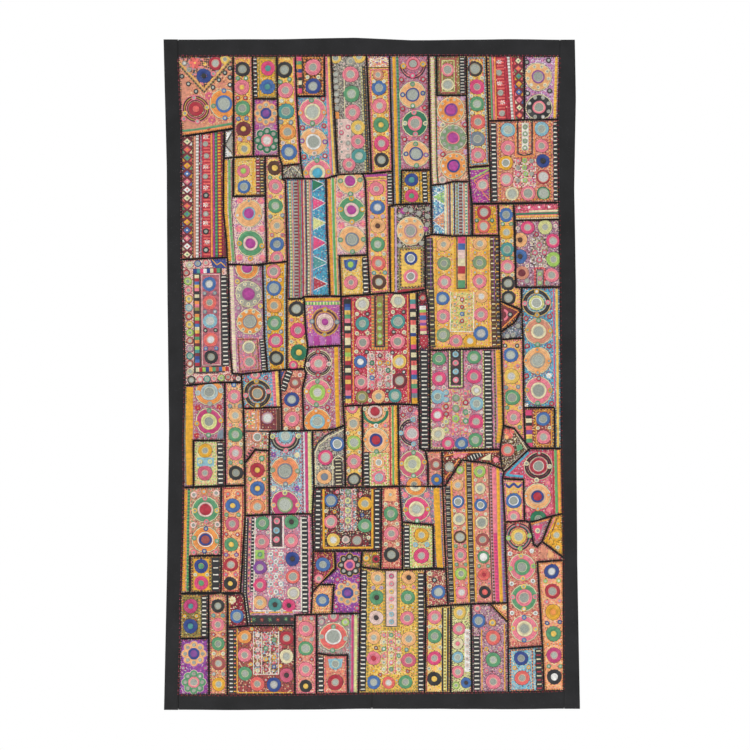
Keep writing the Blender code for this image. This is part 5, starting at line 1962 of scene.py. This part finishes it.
def mosaic(work, start, end, width, pitch, colours):
    """A brocade band of diamonds and triangles."""
    first, *others = colours.split("+")
    run = Vector(end) - Vector(start)
    side = sideways(run.normalized(), width / 2)
    count = max(1, round(run.length / float(pitch)))
    strip(work, [start, end], width, 0.2, first, step=3)
    work.covers.append(band_outline(start, end, width + 0.5))
    for index in range(count):
        place = Vector(start) + run * ((index + 0.5) / count)
        half = run.normalized() * (run.length / count * 0.5)
        shapes = []
        for long, wide, shift, height in ((0.9, 0.85, 0, 0.6), (0.4, 0.4, 2, 0.85)):
            diamond = (place - half * long, place + side * wide, place + half * long, place - side * wide)
            shapes.append((diamond, shift, height))
        for turn in (-1, 1):
            wedge = (place + side * turn, place + side * turn + half, place + side * turn * 0.35 + half)
            shapes.append((wedge, turn, 0.5))
        for shape, shift, height in shapes:
            satin(work, [tuple(spot) for spot in shape], others[(index + shift) % len(others)], height)


def pair(word):
    """A place on the chart, as column,row."""
    column, row = word.split(",")
    return float(column), float(row)


def places(words):
    """Several places on the chart."""
    return [pair(word) for word in words]


MOTIFS = {"ring": ring, "big": big, "rosette": rosette, "arcs": arcs}
SPOTS = {"buds": bud, "knots": knot, "flowers": flower}
BANDS = {"ladder": ladder, "bars": bars, "mosaic": mosaic}


def sew(work, corners, kind, *words):
    """Sew one line of the chart on a patch with these corners."""
    if kind in MOTIFS:
        MOTIFS[kind](work, *words)
    elif kind in SPOTS:
        for word in words[1:]:
            if "," in word:
                SPOTS[kind](work, pair(word), float(words[0]), colour)
            else:
                colour = word
    elif kind in BANDS:
        BANDS[kind](work, pair(words[0]), pair(words[1]), float(words[2]), *words[3:])
    elif kind == "line":
        width, path = float(words[0]), places(words[2:])
        strip(work, path, width, BAND_HEIGHT, *words[1].split("+"))
        if width > COVERING_WIDTH:
            work.covers += [band_outline(*ends, width + COVERING_MARGIN) for ends in zip(path, path[1:])]
    elif kind == "dash":
        dashes(work, places(words[2:]), float(words[0]), words[1])
    elif kind == "edge":
        inset = shrink(corners, float(words[0]))
        strip(work, inset, float(words[1]), EDGE_HEIGHT, *words[2].split("+"), closed=True)
    elif kind == "dots":
        inset = shrink(corners, float(words[0]))
        dashes(work, inset, float(words[1]), words[2], closed=True, height=DOT_HEIGHT)
    elif kind in ("satin", "column"):
        satin(work, places(words[1:]), words[0], upright=kind == "column")
    elif kind in ("laid", "upright"):
        laid(work, places(words[1:]), words[0], upright=kind == "upright")
    elif kind == "sprinkle":
        sprinkle(work, places(words[2:]), float(words[0]), words[1].split("+"))
    else:
        raise ValueError("unknown stitch " + kind)


def sew_edges(work, corners):
    """The sewing along a patch: a dark edge, coloured stitches over it and dark ones inwards."""
    edging = shrink(corners, SEAM_INSET + EDGE_SETBACK)
    strip(work, edging, *EDGE_SIZE, "black", "dark", step=EDGE_STEP, closed=True)
    edging.append(edging[0])
    for place, direction, _ in walk(edging, OVER_PITCH)[:-1]:
        if chance.random() < OVER_SHARE:
            across = sideways(direction, OVER_REACH)
            tint = varied(chance.choice(OVER_COLOURS))
            stitch(work, place - across, place + across, *OVER_SIZE, tint, OVER_BASE)
    for place, direction, _ in walk(edging, INWARD_PITCH)[:-1]:
        end = place + sideways(direction, chance.uniform(*INWARD_REACH))
        end += direction * chance.uniform(-INWARD_SLANT, INWARD_SLANT)
        stitch(work, place, end, *INWARD_SIZE, varied(chance.choice(INWARD_COLOURS)), INWARD_BASE)


def sew_flecks(work, outline, flecks):
    """Small stitches wherever no motif hides the ground."""
    spots = scattered(outline, FLECK_PITCH, 1, FLECK_STRAY)
    free = inside(spots, outline)
    for column, row, radius in work.circles:
        free &= np.hypot(spots[:, 0] - column, spots[:, 1] - row) > radius + 0.1
    for cover in work.covers:
        free &= ~inside(spots, cover)
    for column, row in spots[free]:
        angle = chance.choice(FLECK_ANGLES) + chance.uniform(-FLECK_TURN, FLECK_TURN)
        reach = Vector((math.cos(angle), math.sin(angle))) * chance.uniform(*FLECK_REACH)
        spot = Vector((column, row))
        colour = chance.choice(flecks)
        if chance.random() < OTHER_SHARE:
            colour = chance.choice(OTHER_FLECKS)
        stitch(work, spot - reach, spot + reach, *FLECK_SIZE, varied(colour))


def oriented(work):
    """The work's faces and threads, turned so that they all face the front."""
    faces = []
    threads = []
    for corners, directions in zip(work.faces, work.threads):
        total = 0.0
        for near, far in zip(corners, corners[1:] + corners[:1]):
            total += work.points[near][0] * work.points[far][1] - work.points[far][0] * work.points[near][1]
        turn = -1 if total > 0 else 1
        faces.append(corners[::turn])
        threads.append(directions[::turn])
    return faces, threads


def placed(name, data):
    """A new object in the scene."""
    made = bpy.data.objects.new(name, data)
    bpy.context.scene.collection.objects.link(made)
    return made


def piece(name, work, level, finish):
    """Make one joined piece of what was gathered."""
    faces, threads = oriented(work)
    mesh = bpy.data.meshes.new(name)
    mesh.from_pydata(on_cloth(work.points, level).tolist(), [], faces)
    tint = mesh.color_attributes.new("Tint", "BYTE_COLOR", "CORNER")
    colours = [(*work.tints[index], 1.0) for index, face in enumerate(faces) for _ in face]
    tint.data.foreach_set("color", np.array(colours, np.float32).ravel())
    layer = mesh.uv_layers.new(name="Thread")
    layer.data.foreach_set("uv", np.array([spot for face in threads for spot in face], np.float32).ravel())
    mesh.polygons.foreach_set("use_smooth", [True] * len(faces))
    mesh.materials.append(finish)
    made = placed(name, mesh)
    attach(made, "root")
    return made


def turned_over(corners):
    """Whether a loop of points runs the other way round on the chart."""
    return sum(a[0] * b[1] - b[0] * a[1] for a, b in zip(corners, corners[1:] + corners[:1])) > 0


def finished_mesh(name, builder):
    """The builder's mesh."""
    mesh = bpy.data.meshes.new(name)
    builder.to_mesh(mesh)
    builder.free()
    return mesh


def sheet_mesh(name, outlines, level, roll, tints, accents, cell=CELL):
    """A thin cloth over outlines, cut into small squares, its edges turned down."""
    builder = bmesh.new()
    tint = builder.loops.layers.float_color.new("Tint")
    accent = builder.loops.layers.float_color.new("Accent")
    for outline, colour, second in zip(outlines, tints, accents):
        patch_mesh = bmesh.new()
        outer = [patch_mesh.verts.new((x, y, 0)) for x, y in outline]
        inner = [patch_mesh.verts.new((x, y, 0)) for x, y in shrink(outline, TURNED_EDGE)]
        count = len(outer)
        for index in range(count):
            after = (index + 1) % count
            patch_mesh.faces.new((outer[index], outer[after], inner[after], inner[index]))
        patch_mesh.faces.new(inner)
        xs = [x for x, _ in outline]
        ys = [y for _, y in outline]
        cuts = [((x, 0, 0), (1, 0, 0)) for x in np.arange(min(xs) + cell, max(xs), cell)]
        cuts += [((0, y, 0), (0, 1, 0)) for y in np.arange(min(ys) + cell, max(ys), cell)]
        for place, direction in cuts:
            everything = patch_mesh.verts[:] + patch_mesh.edges[:] + patch_mesh.faces[:]
            bmesh.ops.bisect_plane(patch_mesh, geom=everything, dist=0.02, plane_co=place, plane_no=direction)
        points = np.array([vertex.co[:] for vertex in patch_mesh.verts])
        _, distance = nearest(points, list(outline))
        points[:, 2] = -roll * (1 - np.clip(distance / TURNED_EDGE, 0, 1))
        fresh = [builder.verts.new(place) for place in on_cloth(points, level)]
        patch_mesh.verts.index_update()
        for face in patch_mesh.faces:
            corners = [fresh[vertex.index] for vertex in face.verts]
            over = turned_over([points[vertex.index] for vertex in face.verts])
            made_face = builder.faces.new(corners[::-1] if over else corners)
            made_face.smooth = True
            shade = chance.uniform(*CLOTH_SHADES)
            for loop in made_face.loops:
                loop[tint] = (*[min(1, value * shade) for value in linear(colour)], 1)
                loop[accent] = (*linear(second), 1)
        patch_mesh.free()
    return finished_mesh(name, builder)


def start_material(name, roughness, sheen):
    """A material with its nodes, its surface and its links."""
    made = bpy.data.materials.new(name)
    made.use_nodes = True
    nodes = made.node_tree.nodes
    surface = nodes["Principled BSDF"]
    surface.inputs["Roughness"].default_value = roughness
    surface.inputs["Sheen Weight"].default_value = sheen
    surface.inputs["Sheen Roughness"].default_value = 0.5
    return made, nodes, surface, made.node_tree.links


def attribute(nodes, name):
    """The colour of a named attribute."""
    node = nodes.new("ShaderNodeAttribute")
    node.attribute_name = name
    return node.outputs["Color"]


def mixed(nodes, links, kind, factor, first, second):
    """A colour mix of two sockets or colours."""
    node = nodes.new("ShaderNodeMix")
    node.data_type = "RGBA"
    node.blend_type = kind
    for key, value in (("Factor", factor), ("A", first), ("B", second)):
        if isinstance(value, bpy.types.NodeSocket):
            links.new(value, node.inputs[key])
        else:
            node.inputs[key].default_value = value
    return node.outputs["Result"]


def ramped(nodes, links, source, start, end):
    """A grey ramp over a socket, from one (position, value) to another."""
    node = nodes.new("ShaderNodeValToRGB")
    for element, (position, value) in zip(node.color_ramp.elements, (start, end)):
        element.position = position
        element.color = (value, value, value, 1)
    links.new(source, node.inputs["Fac"])
    return node.outputs["Color"]


def waves(nodes, links, vector, direction, scale, distortion=0.0):
    """Even ridges across a direction."""
    node = nodes.new("ShaderNodeTexWave")
    node.bands_direction = direction
    node.inputs["Scale"].default_value = scale
    node.inputs["Distortion"].default_value = distortion
    links.new(vector, node.inputs["Vector"])
    return node.outputs["Color"]


def noise(nodes, links, vector, scale, detail=3.0):
    """Soft uneven values."""
    node = nodes.new("ShaderNodeTexNoise")
    node.inputs["Scale"].default_value = scale
    node.inputs["Detail"].default_value = detail
    links.new(vector, node.inputs["Vector"])
    return node.outputs["Fac"]


def bumped(nodes, links, height, surface, strength, distance):
    """Relief on the surface."""
    node = nodes.new("ShaderNodeBump")
    node.inputs["Strength"].default_value = strength
    node.inputs["Distance"].default_value = distance
    links.new(height, node.inputs["Height"])
    links.new(node.outputs["Normal"], surface.inputs["Normal"])


def woven(nodes, links, place, scale, distortion):
    """A fine plain weave."""
    across = waves(nodes, links, place, "X", scale, distortion)
    down = waves(nodes, links, place, "Z", scale, distortion)
    return mixed(nodes, links, "MIX", 0.5, across, down)


def thread_material():
    """Lustrous embroidery thread, its strands across the second thread direction and painted shade between
    them.
    """
    made, nodes, surface, links = start_material("embroidery_thread", 0.5, 0.12)
    spot = nodes.new("ShaderNodeUVMap")
    spot.uv_map = "Thread"
    place = nodes.new("ShaderNodeTexCoord").outputs["Object"]
    strands = waves(nodes, links, spot.outputs["UV"], "Y", 0.85, 0.6)
    uneven = ramped(nodes, links, noise(nodes, links, place, 160), (0.3, 0.93), (0.7, 1.36))
    # The grooves between strands are darkened: painted shade.
    painted_groove_shade = ramped(nodes, links, strands, (0.0, 0.66), (0.6, 1.0))
    tint = mixed(nodes, links, "MULTIPLY", 1.0, attribute(nodes, "Tint"), uneven)
    tint = mixed(nodes, links, "MULTIPLY", 1.0, tint, painted_groove_shade)
    links.new(tint, surface.inputs["Base Color"])
    bumped(nodes, links, strands, surface, 0.6, 0.0004)
    return made


def cloth_material():
    """Closely embroidered cotton ground: weave, faded areas and small flecks of a second thread."""
    made, nodes, surface, links = start_material("embroidered_cotton", 0.85, 0.1)
    place = nodes.new("ShaderNodeTexCoord").outputs["Object"]
    weave = woven(nodes, links, place, 300, 0.4)
    cells = nodes.new("ShaderNodeTexVoronoi")
    cells.inputs["Scale"].default_value = 270
    links.new(place, cells.inputs["Vector"])
    flecks = ramped(nodes, links, cells.outputs["Distance"], (0.28, 1.0), (0.42, 0.0))
    faded = ramped(nodes, links, noise(nodes, links, place, 40), (0.3, 0.95), (0.7, 1.3))
    tint = mixed(nodes, links, "MIX", flecks, attribute(nodes, "Tint"), attribute(nodes, "Accent"))
    tint = mixed(nodes, links, "MULTIPLY", 1.0, tint, faded)
    # The weave darkens the colour where its bump dips: painted shade in its hollows.
    tint = mixed(nodes, links, "MULTIPLY", 0.35, tint, weave)
    links.new(tint, surface.inputs["Base Color"])
    bumped(nodes, links, weave, surface, 0.5, 0.0003)
    return made


def cotton_material():
    """Plain black cotton with a fine weave and pale lint."""
    made, nodes, surface, links = start_material("black_cotton", 0.9, 0.12)
    place = nodes.new("ShaderNodeTexCoord").outputs["Object"]
    weave = woven(nodes, links, place, 330, 0.5)
    # Darker and lighter in large soft blotches.
    blotches = ramped(nodes, links, noise(nodes, links, place, 14, 6), (0.3, 0.32), (0.75, 0.92))
    lint = ramped(nodes, links, noise(nodes, links, place, 420, 2), (0.68, 0.0), (0.8, 0.35))
    tint = mixed(nodes, links, "MULTIPLY", 1.0, (*linear("black"), 1), blotches)
    # The weave darkens the colour where its bump dips: painted shade in its hollows.
    tint = mixed(nodes, links, "MULTIPLY", 0.4, tint, weave)
    tint = mixed(nodes, links, "MIX", lint, tint, (0.2, 0.2, 0.21, 1))
    links.new(tint, surface.inputs["Base Color"])
    bumped(nodes, links, weave, surface, 0.6, 0.0003)
    return made


def mirror_material():
    """Thin old mirror glass with a slightly wavy face."""
    made, nodes, surface, links = start_material("mirror_glass", 0.16, 0.0)
    surface.inputs["Metallic"].default_value = 0.75
    place = nodes.new("ShaderNodeTexCoord").outputs["Object"]
    spots = ramped(nodes, links, noise(nodes, links, place, 380, 4), (0.25, 0.7), (0.6, 1.05))
    tint = mixed(nodes, links, "MULTIPLY", 1.0, attribute(nodes, "Tint"), spots)
    links.new(tint, surface.inputs["Base Color"])
    bumped(nodes, links, noise(nodes, links, place, 240, 1), surface, 0.25, 0.0006)
    return made


def band_sheet(name, stations):
    """A border strip folded round the rim, with small creases across it."""
    builder = bmesh.new()
    rows = []
    travelled = 0.0
    before = np.array(stations[0][0])
    for outer, inner in stations:
        rim = np.array(outer)
        edge = np.array(inner)
        reach = float(np.hypot(*(edge - rim)))
        inwards = (edge - rim) / np.hypot(*(edge - rim))
        travelled += float(np.hypot(*(rim - before)))
        before = rim
        crease = math.sin(travelled * 0.55 + 1.4 * math.sin(travelled * 0.13))
        crease *= math.sin(travelled * 0.071 + 1)
        section = [*FOLD_OVER, *[(reach * share, FRONT_PLACE) for share in FRONT_SHARES]]
        section += [(reach - 0.6, -1.9), (reach, -1.1)]
        points = []
        for distance, side in section:
            spot = rim + inwards * distance
            swell = CREASE * crease * math.sin(math.pi * min(1, distance / reach)) if side < -1.5 else 0
            points.append((spot[0], spot[1], -side + swell))
        rows.append([builder.verts.new(place) for place in on_cloth(points, 0)])
    for near, far in zip(rows, rows[1:]):
        for index in range(len(near) - 1):
            face = builder.faces.new((near[index], near[index + 1], far[index + 1], far[index]))
            face.smooth = True
    bmesh.ops.recalc_face_normals(builder, faces=builder.faces[:])
    mesh = finished_mesh(name, builder)
    mesh.materials.append(cotton)
    made = placed(name, mesh)
    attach(made, "root")
    return made


def side_stations(outer_table, inner_table, first, last):
    """Stations down a side border."""
    rows = np.linspace(first, last, SIDE_STATIONS)
    return [((along(outer_table, row), row), (along(inner_table, row), row)) for row in rows]


def end_stations(outer_table, inner_table, first, last):
    """Stations along a top or bottom border."""
    columns = np.linspace(first, last, round((last - first) / END_PITCH))
    tables = (outer_table, inner_table)
    return [[(column, along(table, column)) for table in tables] for column in columns]


# A softer colour of each thread for the rims of its mirrors

for colour_name, digits in list(COLOURS.items()):
    light = COLOURS["grey" if colour_name in PALE_COLOURS else "cream"]
    mean = [(int(digits[at:at + 2], 16) * 2 + int(light[at:at + 2], 16) * 3) // 5 for at in (0, 2, 4)]
    COLOURS[colour_name + " rim"] = "%02x%02x%02x" % tuple(mean)
COLOURS["mirror"] = "c6ccc0"

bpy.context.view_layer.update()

thread = thread_material()
cloth = cloth_material()
cotton = cotton_material()
glass_finish = mirror_material()

# Foundation cloth and border

rim = [(along(LEFT_EDGE, 0.5), along(TOP_EDGE, 0.5))]
rim += [(column, row) for column, row in TOP_EDGE if 1 < column < 412]
rim += [(column, row) for row, column in RIGHT_EDGE]
rim += [(column, row) for column, row in reversed(BOTTOM_EDGE) if 2 < column < 416]
rim += [(column, row) for row, column in reversed(LEFT_EDGE[1:])]
ground_outline = shrink(rim, GROUND_INSET)
ground_mesh = sheet_mesh("cloth_ground", [ground_outline], 0.0, 0.0, ["black"], ["dark"], GROUND_CELL)
ground_mesh.materials.append(cotton)
ground = placed("cloth_ground", ground_mesh)
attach(ground, "root")
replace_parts(ground, "ground")
round(area_of(ground_outline), 4)

for band_name, band_stations in (
    ("border_left", side_stations(LEFT_EDGE, FIELD_LEFT, 0.5, 670.6)),
    ("border_right", side_stations(RIGHT_EDGE, FIELD_RIGHT, 0.8, 669.5)),
    ("border_top", end_stations(TOP_EDGE, FIELD_TOP, 15.3, 396.7)),
    ("border_bottom_left", end_stations(BOTTOM_EDGE, FIELD_BOTTOM, 15.8, 208.8)),
    ("border_bottom_right", end_stations(BOTTOM_EDGE, FIELD_BOTTOM, 209.2, 400.7)),
):
    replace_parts(band_sheet("cloth_" + band_name, band_stations), band_name)

# Embroidered blocks, patch by patch from the chart

blocks = {}
for line in CHART.strip().replace("\n  ", " ").splitlines():
    kind, *words = line.split()
    if kind == "block":
        patches = blocks.setdefault(words[0], [])
    elif kind == "patch":
        lines = []
        patches.append({
            "ground": words[0], "flecks": words[1].split("+"), "corners": places(words[2:]), "lines": lines,
        })
    else:
        lines.append((kind, *words))

for block_name, patches in blocks.items():
    work = Work(Work())
    outlines = [shrink(patch["corners"], SEAM_INSET) for patch in patches]
    for patch, outline in zip(patches, outlines):
        work.begin()
        for line in patch["lines"]:
            sew(work, patch["corners"], *line)
        sew_edges(work, patch["corners"])
        sew_flecks(work, outline, patch["flecks"])
        work.confine(outline)
    tints = [patch["ground"] for patch in patches]
    accents = [patch["flecks"][0] for patch in patches]
    mesh = sheet_mesh("cloth_" + block_name, outlines, CLOTH_LEVEL, 1.0, tints, accents)
    mesh.materials.append(cloth)
    sewn = placed("cloth_" + block_name, mesh)
    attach(sewn, "root")
    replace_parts(sewn, block_name)
    parts = [piece("stitches_" + block_name, work, CLOTH_LEVEL, thread)]
    if work.glass.faces:
        parts.append(piece("mirrors_" + block_name, work.glass, CLOTH_LEVEL, glass_finish))
    area = sum(area_of(outline) for outline in outlines)

# Hem stitches where the border meets the patches

hem = Work()
left = [(along(FIELD_LEFT, row), row) for row in np.linspace(655, 18, 200)]
right = [(along(FIELD_RIGHT, row), row) for row in np.linspace(651, 18, 200)]
top = [(column, along(FIELD_TOP, column)) for column in np.linspace(16, 396, 130)]
bottom = [(column, along(FIELD_BOTTOM, column)) for column in np.linspace(17, 400, 130)]
for path, outwards, colours in (
    (left, 1, ("crimson", "dark", "rose")),
    (right, -1, ("dark", "crimson", "black")),
    (top, 1, ("crimson", "dark", "rose")),
    (bottom, -1, ("dark", "crimson", "brick")),
):
    for index, (place, direction, _) in enumerate(walk(path, HEM_PITCH)[:-1]):
        end = place + sideways(direction, -outwards * chance.uniform(*HEM_REACH)) + direction * HEM_SLANT
        stitch(hem, place, end, *HEM_SIZE, varied(colours[index % 3]))
piece("stitches_hem", hem, HEM_LEVEL, thread)

# Floor, light and camera

disc = bmesh.new()
bmesh.ops.create_circle(disc, cap_ends=True, segments=96, radius=FLOOR_RADIUS)
floor_mesh = finished_mesh("floor", disc)
floor = placed("floor", floor_mesh)
floor.location = (0, 0, FLOOR_LEVEL)
floor_finish, _, floor_surface, _ = start_material("pale_floor", 0.9, 0.0)
floor_surface.inputs["Base Color"].default_value = (FLOOR_GREY, FLOOR_GREY, FLOOR_GREY, 1)
floor_mesh.materials.append(floor_finish)

world = bpy.data.worlds.new("studio")
bpy.context.scene.world = world
world.use_nodes = True
nodes, links = world.node_tree.nodes, world.node_tree.links
split = nodes.new("ShaderNodeSeparateXYZ")
links.new(nodes.new("ShaderNodeTexCoord").outputs["Generated"], split.inputs["Vector"])
level = ramped(nodes, links, split.outputs["Y"], *SKY_RAMP)
links.new(level, nodes["Background"].inputs["Color"])

sun = bpy.data.lights.new("key", "SUN")
sun.energy = SUN_STRENGTH
sun.angle = math.radians(SUN_SPREAD)
lamp = placed("key", sun)
lamp.rotation_euler = [math.radians(turn) for turn in SUN_TURNS]

camera_data = bpy.data.cameras.new("camera")
camera_data.sensor_width = 36
camera_data.lens = LENS
camera = placed("camera", camera_data)
camera.location = CAMERA_PLACE
camera.rotation_euler = (math.radians(90), 0, 0)
bpy.context.scene.camera = camera
bpy.context.scene.view_settings.view_transform = "Standard"
